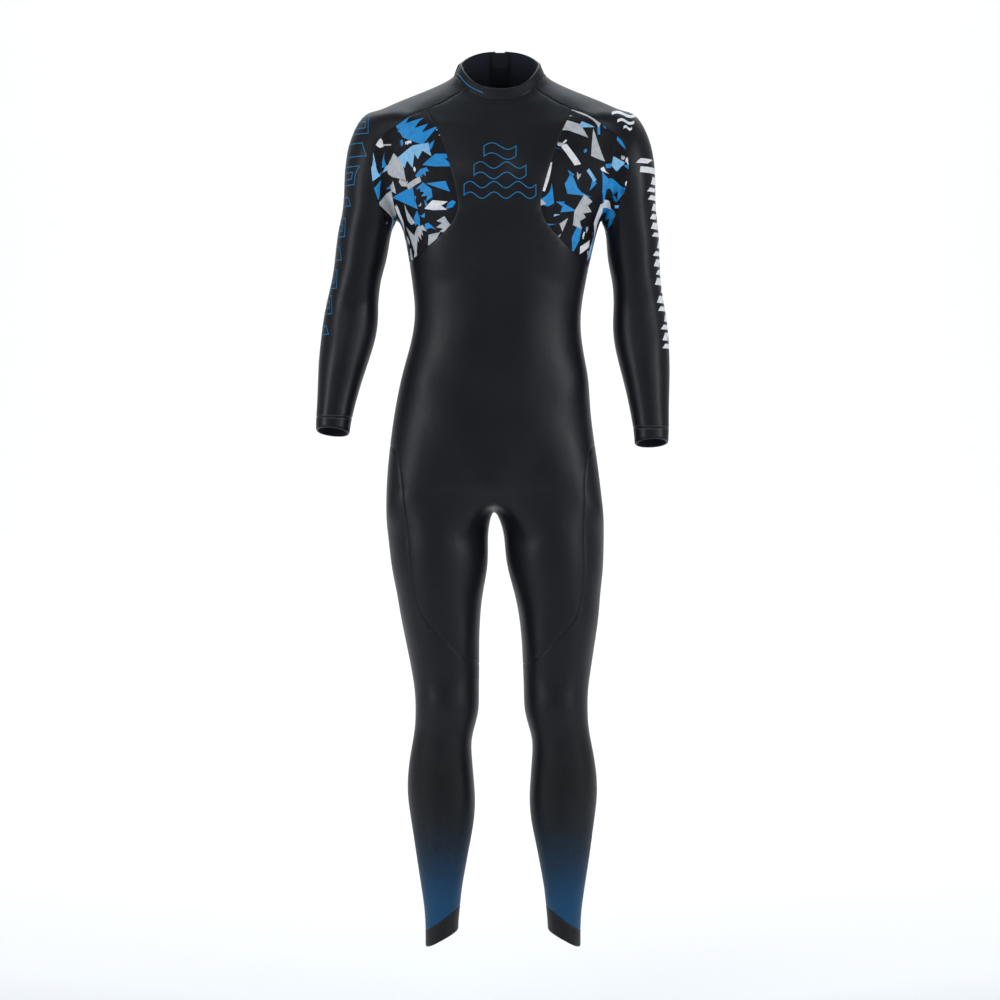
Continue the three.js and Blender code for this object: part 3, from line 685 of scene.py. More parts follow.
class Panel:
    """One panel's mesh: an outer skin with a rounded border, its lining, and the edge between them."""

    def __init__(self, name, coords, normals, polygons, ends):
        self.name = name
        used = sorted({v for p in polygons for v in p})
        index = {v: i for i, v in enumerate(used)}
        points, up = coords[used], unit(normals[used])
        faces = [[index[v] for v in p] for p in polygons]
        directed = {}
        for p in faces:
            for a, b in zip(p, p[1:] + p[:1]):
                directed[(a, b)] = True
        border = [(a, b) for a, b in directed if (b, a) not in directed]
        inward = {}
        for a, b in border:
            along = unit(points[b] - points[a])
            for v in (a, b):
                inward.setdefault(v, []).append(unit(np.cross(up[v], along)))
        room = {v: 1e9 for v in inward}
        for p in faces:
            for v in p:
                if v in room:
                    for w in p:
                        if w not in inward:
                            room[v] = min(room[v], float(np.linalg.norm(points[w] - points[v])))
            for a, b in zip(p, p[1:] + p[:1]):  # both ends on the border, the edge across the panel
                if a in room and b in room and (b, a) in directed:
                    gap = 0.8 * float(np.linalg.norm(points[b] - points[a]))
                    room[a], room[b] = min(room[a], gap), min(room[b], gap)
        self.points, self.up = list(points), list(up)
        shifted, self.border_kind, self.into = {}, {}, {}
        tilted = up.copy()
        for v, ways in inward.items():
            way = unit(sum(ways))
            kind = ends[used[v]]
            reach = min(WIDTH[kind] / max(float(way @ ways[0]), 0.45), 0.55 * room[v])
            shifted[v] = len(self.points)
            self.points.append(points[v] - up[v] * DROP[kind])
            self.up.append(up[v])
            self.points[v] = points[v] + way * reach
            tilted[v] = unit(up[v] - way * TILT[kind] * 0.3)
            tilted = np.vstack([tilted, unit(up[v] - way * TILT[kind])])
            self.border_kind[shifted[v]] = kind
            self.into[shifted[v]] = way
        self.border = [(shifted[a], shifted[b]) for a, b in border]
        self.faces = faces + [[shifted[a], shifted[b], b, a] for a, b in border]
        self.points, self.up = np.array(self.points), np.array(self.up)
        self.tilted = tilted
        self.area = sum(self.face_area(f) for f in self.faces)

    def face_area(self, face):
        p = self.points[face]
        return 0.5 * np.linalg.norm(np.cross(p[1:-1] - p[0], p[2:] - p[0]).sum(0))

    def size(self):
        return self.points.max(0) - self.points.min(0)

    def build(self, skin, lining):
        n = len(self.points)
        sheet = THIN_SHEET if self.name.split("_", 1)[1].startswith(THIN_PANELS) else SHEET
        inner = self.points - self.up * sheet
        for v, kind in self.border_kind.items():
            inner[v] = self.points[v] - self.up[v] * (sheet - DROP[kind])
        points = np.vstack([self.points, inner])
        faces = [list(f) for f in self.faces] + [[v + n for v in reversed(f)] for f in self.faces]
        faces += [[b, a, a + n, b + n] for a, b in self.border]
        kinds = [0] * len(self.faces) + [1] * len(self.faces) + [0] * len(self.border)
        corner = []
        for f in self.faces:
            corner += [self.tilted[v] for v in f]
        for f in self.faces:
            corner += [-self.up[v] for v in reversed(f)]
        for a, b in self.border:
            corner += [unit(self.up[v] * 0.35 - self.into[v]) for v in (b, a)]
            corner += [-self.into[v] for v in (a, b)]
        return new_mesh(self.name, points, faces, corner, kinds, materials=[skin, lining])


def new_mesh(name, points, faces, corner_normals=None, kinds=None, smooth=True, materials=()):
    """A mesh object from millimetres, which remembers where its points lie at rest."""
    mesh = bpy.data.meshes.new(name)
    mesh.from_pydata([tuple(p) for p in np.asarray(points) * MM], [], faces)
    rest = mesh.attributes.new("rest", "FLOAT_VECTOR", "POINT")
    rest.data.foreach_set("vector", (np.asarray(points) * MM).astype(np.float32).ravel())
    for material in materials:
        mesh.materials.append(material)
    if kinds is not None:
        mesh.polygons.foreach_set("material_index", kinds)
    mesh.polygons.foreach_set("use_smooth", [smooth] * len(faces))
    if corner_normals is not None:
        mesh.normals_split_custom_set([tuple(n) for n in corner_normals])
    mesh.update()
    piece = bpy.data.objects.new(name, mesh)
    bpy.context.scene.collection.objects.link(piece)
    return piece


# ---------------------------------------------------------------------------------------------- materials
class Nodes:
    """Short names for building a material's nodes."""

    def __init__(self, name, **sockets):
        self.material = bpy.data.materials.new(name)
        self.material.use_nodes = True
        self.tree = self.material.node_tree
        self.shader = self.tree.nodes["Principled BSDF"]
        for socket, value in sockets.items():
            self.shader.inputs[socket.replace("_", " ")].default_value = value
        self.rest = self.add("ShaderNodeAttribute", attribute_name="rest").outputs["Vector"]

    def add(self, kind, inputs=(), **values):
        node = self.tree.nodes.new(kind)
        for key, value in values.items():
            setattr(node, key, value)
        for key, value in dict(inputs).items():
            self.give(node.inputs[key], value)
        return node

    def give(self, socket, value):
        if isinstance(value, bpy.types.NodeSocket):
            self.tree.links.new(value, socket)
        else:
            socket.default_value = value

    def noise(self, scale, detail=3.0, rough=0.55, vector=None, stretch=None):
        vector = vector or self.rest
        if stretch:
            vector = self.add("ShaderNodeMapping", {"Vector": vector, "Scale": stretch}).outputs[0]
        return self.add("ShaderNodeTexNoise", {"Vector": vector, "Scale": scale, "Detail": detail,
                                               "Roughness": rough}).outputs["Fac"]

    def math(self, operation, a, b=0.0):
        return self.add("ShaderNodeMath", {0: a, 1: b}, operation=operation).outputs[0]

    def ramp(self, value, low, high, a=0.0, b=1.0):
        ends = {"Value": value, "From Min": low, "From Max": high, "To Min": a, "To Max": b}
        return self.add("ShaderNodeMapRange", ends, interpolation_type="SMOOTHSTEP").outputs[0]

    def mix(self, factor, a, b):
        node = self.add("ShaderNodeMix", data_type="RGBA")
        for i, value in ((0, factor), (6, a), (7, b)):
            self.give(node.inputs[i], value)
        return node.outputs[2]

    def axis(self, which):
        return self.add("ShaderNodeSeparateXYZ", {0: self.rest}).outputs[which]

    def bumps(self, *layers):
        """Each layer is a height and its depth in millimetres."""
        normal = None
        for height, depth in layers:
            inputs = {"Height": height, "Distance": depth * MM, "Strength": 1.0}
            if normal:
                inputs["Normal"] = normal
            normal = self.add("ShaderNodeBump", inputs).outputs[0]
        self.give(self.shader.inputs["Normal"], normal)

    def set(self, **sockets):
        for socket, value in sockets.items():
            self.give(self.shader.inputs[socket.replace("_", " ")], value)
        return self.material


def knit(n, pitch):
    """Height of a fine rib knit whose ribs run up and down, with its loops across them."""
    around = n.math("ADD", n.axis(0), n.math("MULTIPLY", n.axis(1), 0.35))
    rib = n.math("SINE", n.math("MULTIPLY", around, 2 * math.pi / (pitch * MM)))
    loop = n.math("SINE", n.math("MULTIPLY", n.axis(2), 2 * math.pi / (pitch * 0.8 * MM)))
    return n.math("ADD", n.math("MULTIPLY", rib, 0.5), n.math("MULTIPLY", n.math("MULTIPLY", rib, loop), 0.5))


def neoprene_skin():
    n = Nodes("smooth_neoprene", Specular_IOR_Level=0.26)
    cloud = n.noise(9.0, 4.0)
    grain = n.noise(900.0, 2.0)
    dust = n.ramp(n.noise(60.0, 5.0, 0.7), 0.55, 0.8)
    n.bumps((n.noise(26.0, 3.0, 0.5, stretch=(1, 1, 0.55)), 0.9), (n.noise(140.0, 3.0), 0.07), (grain, 0.012))
    colour = n.mix(cloud, (0.0026, 0.0034, 0.0060, 1), (0.0048, 0.0060, 0.0096, 1))
    colour = n.mix(n.math("MULTIPLY", dust, 0.16), colour, (0.018, 0.020, 0.027, 1))
    rough = n.math("ADD", n.ramp(cloud, 0.3, 0.7, 0.40, 0.48), n.math("MULTIPLY", dust, 0.05))
    return n.set(Base_Color=colour, Roughness=rough)


def lining_knit():
    n = Nodes("lining_knit", Roughness=0.85, Specular_IOR_Level=0.2, Sheen_Weight=0.1, Sheen_Roughness=0.5)
    n.bumps((knit(n, 1.1), 0.12), (n.noise(500.0), 0.05))
    return n.set(Base_Color=n.mix(n.noise(70.0), (0.007, 0.009, 0.016, 1), (0.014, 0.018, 0.032, 1)))


def pattern_knit():
    n = Nodes("pattern_base", Specular_IOR_Level=0.18)
    n.bumps((knit(n, 0.8), 0.05), (n.noise(40.0), 0.4))
    cells = n.add("ShaderNodeTexVoronoi", {"Vector": n.rest, "Scale": 70.0}).outputs["Color"]
    shade = n.ramp(n.add("ShaderNodeSeparateColor", {0: cells}).outputs[0], 0.55, 1.0)
    colour = n.mix(shade, (0.0024, 0.0024, 0.0046, 1), (0.0034, 0.0042, 0.0090, 1))
    return n.set(Base_Color=colour, Roughness=n.ramp(n.noise(90.0), 0.3, 0.7, 0.48, 0.6))


def print_ink(name, colour):
    n = Nodes(name, Specular_IOR_Level=0.35)
    n.bumps((knit(n, 0.8), 0.04), (n.noise(300.0), 0.03))
    r, g, b = colour
    worn = (r * 0.72, g * 0.74, b * 0.8, 1)
    return n.set(Base_Color=n.mix(n.ramp(n.noise(120.0, 5.0, 0.65), 0.42, 0.72), (r, g, b, 1), worn),
                 Roughness=n.ramp(n.noise(60.0), 0.3, 0.7, 0.42, 0.55))


def leg_knit():
    """Black at the knee, turning to blue towards the ankle; heights are in metres."""
    n = Nodes("lower_leg_knit", Specular_IOR_Level=0.26)
    z = n.axis(2)
    wave = n.math("MULTIPLY", n.math("SUBTRACT", n.noise(18.0), 0.5), 0.03)
    fade = n.ramp(n.math("ADD", z, wave), -1.14, -1.36, 0.0, 1.0)
    fade = n.math("MULTIPLY", fade, fade)
    start = n.ramp(z, -1.12, -1.25, 0.0, 1.0)
    ribs = knit(n, 1.6)
    dots = n.add("ShaderNodeTexVoronoi", {"Vector": n.rest, "Scale": 520.0}).outputs["Distance"]
    speck = n.math("SUBTRACT", 1.0, n.ramp(dots, 0.16, 0.34))
    dark = n.mix(n.noise(9.0, 4.0), (0.0030, 0.0038, 0.0065, 1), (0.0052, 0.0064, 0.0100, 1))
    dark = n.mix(n.ramp(z, -0.97, -1.13), dark, (0.0012, 0.0018, 0.0034, 1))
    blue = n.mix(n.noise(55.0), (0.0, 0.040, 0.112, 1), (0.0, 0.052, 0.140, 1))
    deep = n.mix(n.math("MULTIPLY", n.ramp(ribs, -0.4, 0.8), 0.5), blue, (0.001, 0.078, 0.185, 1))
    colour = n.mix(fade, dark, deep)
    speck = n.math("MULTIPLY", n.math("MULTIPLY", start, speck), 0.32)
    colour = n.mix(speck, colour, (0.02, 0.12, 0.2, 1))
    n.bumps((n.noise(26.0, 3.0, 0.5), 0.8), (n.math("MULTIPLY", ribs, start), 0.16))
    return n.set(Base_Color=colour, Roughness=n.ramp(start, 0.0, 1.0, 0.44, 0.56))


def matte_cuff():
    n = Nodes("matte_cuff", Roughness=0.6, Specular_IOR_Level=0.25, Sheen_Weight=0.03)
    n.bumps((n.noise(600.0, 2.0), 0.05), (n.noise(30.0), 0.5))
    return n.set(Base_Color=n.mix(n.noise(40.0), (0.0045, 0.0048, 0.006, 1), (0.008, 0.0085, 0.0102, 1)))


def thread(name, colour):
    n = Nodes(name, Roughness=0.6, Sheen_Weight=0.2)
    n.bumps((n.noise(2500.0), 0.03))
    r, g, b = colour
    return n.set(Base_Color=n.mix(n.noise(300.0), (r, g, b, 1), (r * 1.5, g * 1.5, b * 1.5, 1)))


# ---------------------------------------------------------------------------------------------- stage
def stage():
    """A white floor that curves up into a backdrop, the lights and the camera; all in metres."""
    floor, near, bend, radius, height, half_width = -1.56, -14.0, 4.5, 3.0, 12.0, 12.0
    profile = [(near, 0.0), (0.0, 0.0), (bend, 0.0)]
    for a in np.linspace(0.1, math.pi / 2, 12):
        profile.append((bend + radius * math.sin(a), radius - radius * math.cos(a)))
    profile.append((bend + radius, height))
    points = [(x, y, floor + z) for y, z in profile for x in (-half_width, half_width)]
    faces = [[2 * i, 2 * i + 1, 2 * i + 3, 2 * i + 2] for i in range(len(profile) - 1)]
    mesh = bpy.data.meshes.new("studio_floor")
    mesh.from_pydata(points, [], faces)
    mesh.polygons.foreach_set("use_smooth", [True] * len(faces))
    backdrop = bpy.data.objects.new("studio_floor", mesh)
    bpy.context.scene.collection.objects.link(backdrop)
    paper = Nodes("studio_paper", Base_Color=(0.86, 0.86, 0.87, 1), Roughness=0.9, Specular_IOR_Level=0.1)
    position = paper.add("ShaderNodeTexCoord").outputs["Object"]
    paper.bumps((paper.noise(2.0, vector=position), 0.5))
    mesh.materials.append(paper.material)

    world = bpy.data.worlds.new("studio")
    world.use_nodes = True
    world.node_tree.nodes["Background"].inputs["Color"].default_value = (0.93, 0.965, 1.0, 1)
    world.node_tree.nodes["Background"].inputs["Strength"].default_value = 0.28
    bpy.context.scene.world = world

    def light(name, place, look, size, power, colour=(1, 1, 1)):
        data = bpy.data.lights.new(name, "AREA")
        data.shape = "RECTANGLE"
        data.size, data.size_y = size
        data.energy = power
        data.color = colour
        lamp = bpy.data.objects.new(name, data)
        lamp.location = place
        lamp.rotation_euler = (Vector(look) - Vector(place)).to_track_quat("-Z", "Y").to_euler()
        bpy.context.scene.collection.objects.link(lamp)

    light("key", (-1.5, -3.6, 2.4), (0, 0, -0.3), (1.8, 1.4), 28)
    light("fill", (2.4, -3.6, 1.0), (0, 0, -0.4), (1.4, 1.8), 18)
    light("left_strip", (-3.4, -1.9, 0.3), (0, 0, -0.2), (0.8, 1.9), 52, (0.93, 0.97, 1.0))
    light("right_strip", (3.4, -1.9, 0.3), (0, 0, -0.2), (0.8, 1.9), 52, (0.93, 0.97, 1.0))
    light("top", (0, 0.9, 2.6), (0, 0, 0), (2.4, 0.8), 50, (0.80, 0.92, 1.0))
    light("wall_wash", (0, 3.2, 4.2), (0, 7.4, 0.0), (8.0, 1.0), 250)
    light("floor_wash", (0, 3.4, 3.0), (0, 3.4, -1.5), (8.0, 2.4), 74)

    data = bpy.data.cameras.new("camera")
    data.lens, data.sensor_width = 120, 36
    data.clip_end = 60
    camera = bpy.data.objects.new("camera", data)
    camera.location = (0, -5.5, -0.667)
    camera.rotation_euler = (math.pi / 2, 0, 0)
    bpy.context.scene.collection.objects.link(camera)
    bpy.context.scene.camera = camera
    bpy.context.scene.view_settings.view_transform = "Standard"


RIDES = {"upper_sleeve": "shoulder", "underarm_panel": "shoulder", "forearm_sleeve": "elbow",
         "inner_thigh_panel": "hip", "outer_thigh_panel": "hip", "shin_panel": "knee", "calf_panel": "knee"}
FIXED = {"wrist_cuff": "forearm", "ankle_cuff": "lower_leg"}


def ride(piece, panel):
    word, _, name = panel.partition("_")
    if name in RIDES:
        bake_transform(piece)
    elif name in FIXED:
        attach(piece, f"{word}_{FIXED[name]}")
    else:
        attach(piece, "torso")


def sheet(piece, panel_mesh, with_pieces):
    length = max(panel_mesh.size()) * MM


# ---------------------------------------------------------------------------------------------- prints
CHEST_HALF_WIDTH, CHEST_DEPTH, CHEST_RADIUS = 187, 112, 150
ARM_RADIUS = 52


def torso_map(p):
    """Distance round the chest from the front, and height."""
    round_chest = np.arctan2((p[:, 0] - sway(p[:, 2])) / CHEST_HALF_WIDTH, -p[:, 1] / CHEST_DEPTH)
    return np.stack([round_chest * CHEST_RADIUS, p[:, 2]], -1)


def arm_map(p, side):
    """Distance round the arm from its front to its outer side, and height along it."""
    rings = []
    for ox, oz, ix, iz, centre, half, _ in SLEEVE:
        a, b = arm_point(ox, oz, side), arm_point(ix, iz, side)
        rings.append(((a[1] + b[1]) / 2, (a[0] + b[0]) / 2, (a[0] - b[0]) / 2, centre, half))
    z, x, width, y, depth = np.array(rings[::-1]).T
    at = p[:, 2]
    angle = np.arctan2((p[:, 0] * side - np.interp(at, z, x)) / np.interp(at, z, width),
                       -(p[:, 1] - np.interp(at, z, y)) / np.interp(at, z, depth))
    return np.stack([angle * ARM_RADIUS, at], -1)


def front_map(p):
    return np.stack([p[:, 0], p[:, 2]], -1)


def clip(polygon, a, b):
    """The part of a polygon on the left of the line from a to b; its points carry extra values."""
    side = [(b[0] - a[0]) * (p[1] - a[1]) - (b[1] - a[1]) * (p[0] - a[0]) for p in polygon]
    kept = []
    for i, p in enumerate(polygon):
        j = (i + 1) % len(polygon)
        if side[i] >= 0:
            kept.append(p)
        if side[i] * side[j] < 0:
            kept.append(p + (polygon[j] - p) * (side[i] / (side[i] - side[j])))
    return kept


def turned(triangle):
    a, b, c = triangle
    return triangle if (b[0] - a[0]) * (c[1] - a[1]) > (b[1] - a[1]) * (c[0] - a[0]) else [a, c, b]


def triangles_of(outline):
    corners = [Vector((x, y, 0)) for x, y in outline]
    return [turned([outline[i] for i in t]) for t in tessellate_polygon([corners])]


LONGEST_FACE = 60  # a mapped face longer than this lies across the map's edge
LEAST_AREA = 0.01


class Print:
    """Ink that lies on panels: flat shapes laid on their outer skins through a map."""

    def __init__(self, lift):
        self.lift = lift
        self.points, self.normals, self.faces, self.index = [], [], [], {}

    def lay(self, panel, mapped, shapes, facing=None):
        points, up = panel.points + panel.tilted * self.lift, panel.tilted
        data = np.hstack([mapped, points, up])
        corners = np.array([(f[0], f[k], f[k + 1]) for f in panel.faces for k in range(1, len(f) - 1)])
        if facing is not None:
            corners = corners[facing(points[corners].mean(1), up[corners].mean(1))]
        flat = mapped[corners]
        size = flat.max(1) - flat.min(1)
        whole = size.max(1) < LONGEST_FACE
        corners, flat = corners[whole], flat[whole]
        low, high = flat.min(1), flat.max(1)
        for shape in shapes:
            for triangle in triangles_of(shape):
                t = np.array(triangle)
                hits = np.nonzero(((low < t.max(0)) & (high > t.min(0))).all(1))[0]
                for i in hits:
                    polygon = list(data[corners[i]])
                    for k in range(3):
                        polygon = clip(polygon, triangle[k], triangle[(k + 1) % 3])
                        if len(polygon) < 3:
                            break
                    else:
                        self.add(polygon)

    def add(self, polygon):
        face = []
        for value in polygon:
            key = tuple(np.round(value[2:5], 2))
            if key not in self.index:
                self.index[key] = len(self.points)
                self.points.append(value[2:5])
                self.normals.append(unit(value[5:8]))
            if self.index[key] not in face:
                face.append(self.index[key])
        if len(face) > 2:
            p = [self.points[i] for i in face]
            area = sum(np.cross(p[i] - p[0], p[i + 1] - p[0]) for i in range(1, len(p) - 1))
            if np.linalg.norm(area) > LEAST_AREA:
                self.faces.append(face)

    def build(self, name, ink):
        corner = [self.normals[v] for f in self.faces for v in f]
        return new_mesh(name, self.points, self.faces, corner, materials=[ink])


def shard(rng, size):
    """A scrap about the origin: a wedge, a sail, a sawn edge, a torn corner, a kite or a short bar."""

    def some(low, high):
        return size * rng.uniform(low, high)

    kind = rng.choice(("wedge", "wedge", "sail", "sail", "saw", "saw", "torn", "torn", "kite", "bar"))
    if kind == "wedge":
        w = some(0.4, 0.8)
        points = [(-size, -w * rng.uniform(0.4, 1)), (size, -w * rng.uniform(0.0, 0.5)), (-some(0.1, 0.8), w)]
    elif kind == "sail":
        lean = rng.uniform(0.15, 0.5)
        points = [(-size, -size * 0.55)]
        for t in (0.2, 0.4, 0.6, 0.8):
            points.append((-size + 1.9 * size * t, -size * (0.55 - lean * math.sin(math.pi * t))))
        points += [(size, -size * 0.5), (some(0.7, 0.95), some(0.2, 0.5)), (some(0.1, 0.4), some(0.4, 0.7))]
    elif kind == "saw":
        points = [(-size, -size * 0.5), (size * 0.2, -some(0.6, 0.8)), (size, -size * 0.3),
                  (size * 0.95, some(0.4, 0.7))]
        for x in (0.5, 0.0, -0.55):
            points.append((size * (x + rng.uniform(-0.05, 0.1)), some(-0.05, 0.15)))
            points.append((size * (x - 0.32), some(0.35, 0.75)))
    elif kind == "torn":
        points = [(-size, -some(0.1, 0.5)), (-size * 0.1, -some(0.5, 0.8)), (size * 0.9, -some(0.0, 0.4)),
                  (size * 0.35, size * 0.05), (some(0.5, 0.9), some(0.5, 0.8)), (-size * 0.3, some(0.2, 0.4))]
    elif kind == "kite":
        w = some(0.35, 0.6)
        points = [(-size, 0), (-size * 0.1, -w), (size * 0.75, -w * 0.9), (size * 0.9, w * 0.1),
                  (-size * 0.05, w * 0.8)]
    else:
        w = some(0.18, 0.3)
        points = [(-size * 0.8, -w), (size * 0.8, -w * 0.8), (size * 0.76, w), (-size * 0.74, w * 0.9)]
    turn = rng.choice((1.2, 1.9, 0.3, 2.7, 4.4)) + rng.uniform(-0.4, 0.4)
    c, s = math.cos(turn), math.sin(turn)
    return [(x * c - y * s, x * s + y * c) for x, y in points]


SCRAP_TRIES = ((27, 110), (17, 240), (11, 260), (6, 260))  # size, and how many are tried
CROWDING = 0.66  # least distance between two scraps over the sum of their sizes
INK_SHARES = (36, 12, 36, 16)


def scatter(rng, low, high):
    """Scraps over a rectangle, with the number of each one's ink; large ones first, with little overlap."""
    placed, scraps = [], []
    for size, tries in SCRAP_TRIES:
        for _ in range(tries):
            x, y = rng.uniform(low[0], high[0]), rng.uniform(low[1], high[1])
            r = size * rng.uniform(0.8, 1.15)
            if all(math.hypot(x - px, y - py) > (r + pr) * CROWDING for px, py, pr in placed):
                placed.append((x, y, r))
                ink = rng.choices(range(len(INK_SHARES)), INK_SHARES)[0]
                scraps.append((ink, [(x + px, y + py) for px, py in shard(rng, r)]))
    return scraps


def stroke(line, width, closed=False):
    """Quads along a line; at its corners they are mitred."""
    p = [np.array(q, float) for q in line]
    n = len(p)
    sides = []
    for i in range(n):
        before = p[i] - p[i - 1] if closed or i > 0 else p[1] - p[0]
        after = p[(i + 1) % n] - p[i] if closed or i < n - 1 else p[-1] - p[-2]
        a = np.array((-before[1], before[0])) / np.linalg.norm(before)
        b = np.array((-after[1], after[0])) / np.linalg.norm(after)
        m = a + b
        m = m / max(m @ m, 0.6) * width
        sides.append((tuple(p[i] + m), tuple(p[i] - m)))
    count = n if closed else n - 1
    return [[*sides[i], *sides[(i + 1) % n][::-1]] for i in range(count)]


def wave(width, height, amplitude, x, z):
    """The outline of one wave-shaped band."""
    steps = 22
    top, bottom = [], []
    for i in range(steps + 1):
        t = i / steps
        lift = amplitude * math.sin(2 * math.pi * t * max(1, round(width / 46)))
        top.append((x + width * (t - 0.5), z + lift + height / 2))
        bottom.append((x + width * (t - 0.5), z + lift - height / 2))
    return top + bottom[::-1]


def slanted(u, v, width, height, lean):
    return [(u - width / 2 - lean, v - height / 2), (u + width / 2 - lean, v - height / 2),
            (u + width / 2 + lean, v + height / 2), (u - width / 2 + lean, v + height / 2)]


# ---------------------------------------------------------------------------------------------- stitches
def loops_of(edges):
    after = dict(edges)
    loops = []
    while after:
        start = next((a for a in after if a not in after.values()), next(iter(after)))
        loop = [start]
        while loop[-1] in after:
            loop.append(after.pop(loop[-1]))
            if loop[-1] == start:
                break
        loops.append(loop)
    return loops


def ring_faces(base, rings, n, turned_in=False):
    """Faces round a stack of rings of n points each, and a cap on each end."""
    faces = []
    for ring in range(rings - 1):
        low, high = base + ring * n, base + (ring + 1) * n
        for k in range(n):
            m = (k + 1) % n
            faces.append([low + k, low + m, high + m, high + k])
    last = base + (rings - 1) * n
    faces += [[base + k for k in reversed(range(n))], [last + k for k in range(n)]]
    return [face[::-1] for face in faces] if turned_in else faces


STITCH_LENGTH, STITCH_PITCH, STITCH_RADIUS = 2.3, 3.5, 0.36
STITCH_SIDES = 6
# place along half a stitch, and share of its radius there
STITCH_FORM = ((-1.0, 0.15), (-0.72, 0.8), (0.0, 1.0), (0.72, 0.8), (1.0, 0.15))


def stitch_row(panel, inset, wanted):
    """Points and faces of a row of stitches that follows a panel's border."""
    points, faces = [], []
    chosen = [(a, b) for a, b in panel.border if wanted(panel, a) and wanted(panel, b)]
    for loop in loops_of(chosen):
        line = np.array([panel.points[v] + panel.into[v] * inset + panel.up[v] * DROP[panel.border_kind[v]]
                         for v in loop])
        up = np.array([panel.up[v] for v in loop])
        reach = np.concatenate([[0], np.cumsum(np.linalg.norm(np.diff(line, axis=0), axis=1))])

        def at(place, values):
            return np.array([np.interp(place, reach, values[:, k]) for k in range(3)])

        for n in range(int(reach[-1] / STITCH_PITCH)):
            middle = (n + 0.5) * STITCH_PITCH
            first, last = at(middle - STITCH_LENGTH / 2, line), at(middle + STITCH_LENGTH / 2, line)
            n_up = unit(at(middle, up))
            along = unit(last - first)
            across = np.cross(n_up, along)
            faces += ring_faces(len(points), len(STITCH_FORM), STITCH_SIDES, turned_in=True)
            for t, share in STITCH_FORM:
                centre = (first + last) / 2 + along * t * STITCH_LENGTH / 2 + n_up * (0.12 - 0.22 * t * t)
                for k in range(STITCH_SIDES):
                    a = 2 * math.pi * k / STITCH_SIDES
                    way = across * math.cos(a) + n_up * math.sin(a)
                    points.append(centre + way * STITCH_RADIUS * share)
    return points, faces


# ---------------------------------------------------------------------------------------- zip and collar flap
ZIP_LOW, ZIP_HIGH = -366, 20
TOOTH_PITCH = 2.7
# one tooth from behind, across the zip and along it; its levels off the arc, and its size there
TOOTH = [(2.2, 1.0), (0.4, 0.78), (-0.5, 1.25), (-1.1, 0.9), (-1.1, -0.9), (-0.5, -1.25), (0.4, -0.78),
         (2.2, -1.0)]
TOOTH_LEVELS = ((-3.2, 0.86), (-2.8, 1.0), (0.0, 1.0), (0.4, 0.84))
TOOTH_MIDDLE = 0.55
BAND_STEP = 6


def back_y(z):
    """The back's centre line, which leaves the zip's arc at the collar."""
    return np.where(z < 33, arc_y(np.minimum(z, 33)), np.interp(z, (33, 57, 82), (77.5, 71, 68)))


def band(name, xs, zs, near, far, material, y_of=arc_y, soften=0.35, hang=0.0):
    """A closed strip along the back's centre line, with softened long edges, and its flat size; hang bends
    its sides in."""
    x0, x1 = xs
    section = [(x0, near + soften), (x0, far - soften), (x0 + soften, far), (x1 - soften, far),
               (x1, far - soften), (x1, near + soften), (x1 - soften, near), (x0 + soften, near)]
    middle = (x0 + x1) / 2
    count = max(2, int((zs[1] - zs[0]) / BAND_STEP))
    points = []
    for z in np.linspace(zs[0], zs[1], count + 1):
        y = float(y_of(z))
        tilt = (float(y_of(z + 1)) - float(y_of(z - 1))) / 2
        for x, level in section:
            points.append((x, y + level - hang * (x - middle) ** 2, z - tilt * level))
    n = len(section)
    piece = new_mesh(name, points, ring_faces(0, count + 1, n), smooth=False, materials=[material])
    return piece, ((x1 - x0) * MM, line_length(points[0::n]) * MM)


def zip_chain(name, material):
    """Interlocking teeth from both sides of the zip."""
    points, faces = [], []
    for i in range(int((ZIP_HIGH - ZIP_LOW) / TOOTH_PITCH)):
        z = ZIP_LOW + (i + 0.5) * TOOTH_PITCH
        side = 1 if i % 2 else -1
        y, tilt = float(arc_y(z)), float(arc_y(z + 1) - arc_y(z))
        faces += ring_faces(len(points), len(TOOTH_LEVELS), len(TOOTH), turned_in=(side == -1))
        for level, size in TOOTH_LEVELS:
            for x, w in TOOTH:
                across = side * (TOOTH_MIDDLE + (x - TOOTH_MIDDLE) * size)
                points.append((across, y + level, z + w * size - tilt * level))
    return new_mesh(name, points, faces, smooth=False, materials=[material])


def line_length(points):
    return float(np.linalg.norm(np.diff(np.array(points), axis=0), axis=1).sum())


def smooth_torso_point(row, column, offset):
    """The torso's surface with its rows joined by a curve instead of straight lines."""
    low = min(int(row), len(TORSO) - 2)
    t = row - low
    a, b, c, d = [np.array(torso_point(min(max(r, 0), len(TORSO) - 1), column, offset))
                  for r in (low - 1, low, low + 1, low + 2)]
    return b + 0.5 * t * (c - a + t * (2 * a - 5 * b + 4 * c - d + t * (3 * (b - c) + d - a)))


ROOT_LEVEL = 0.15


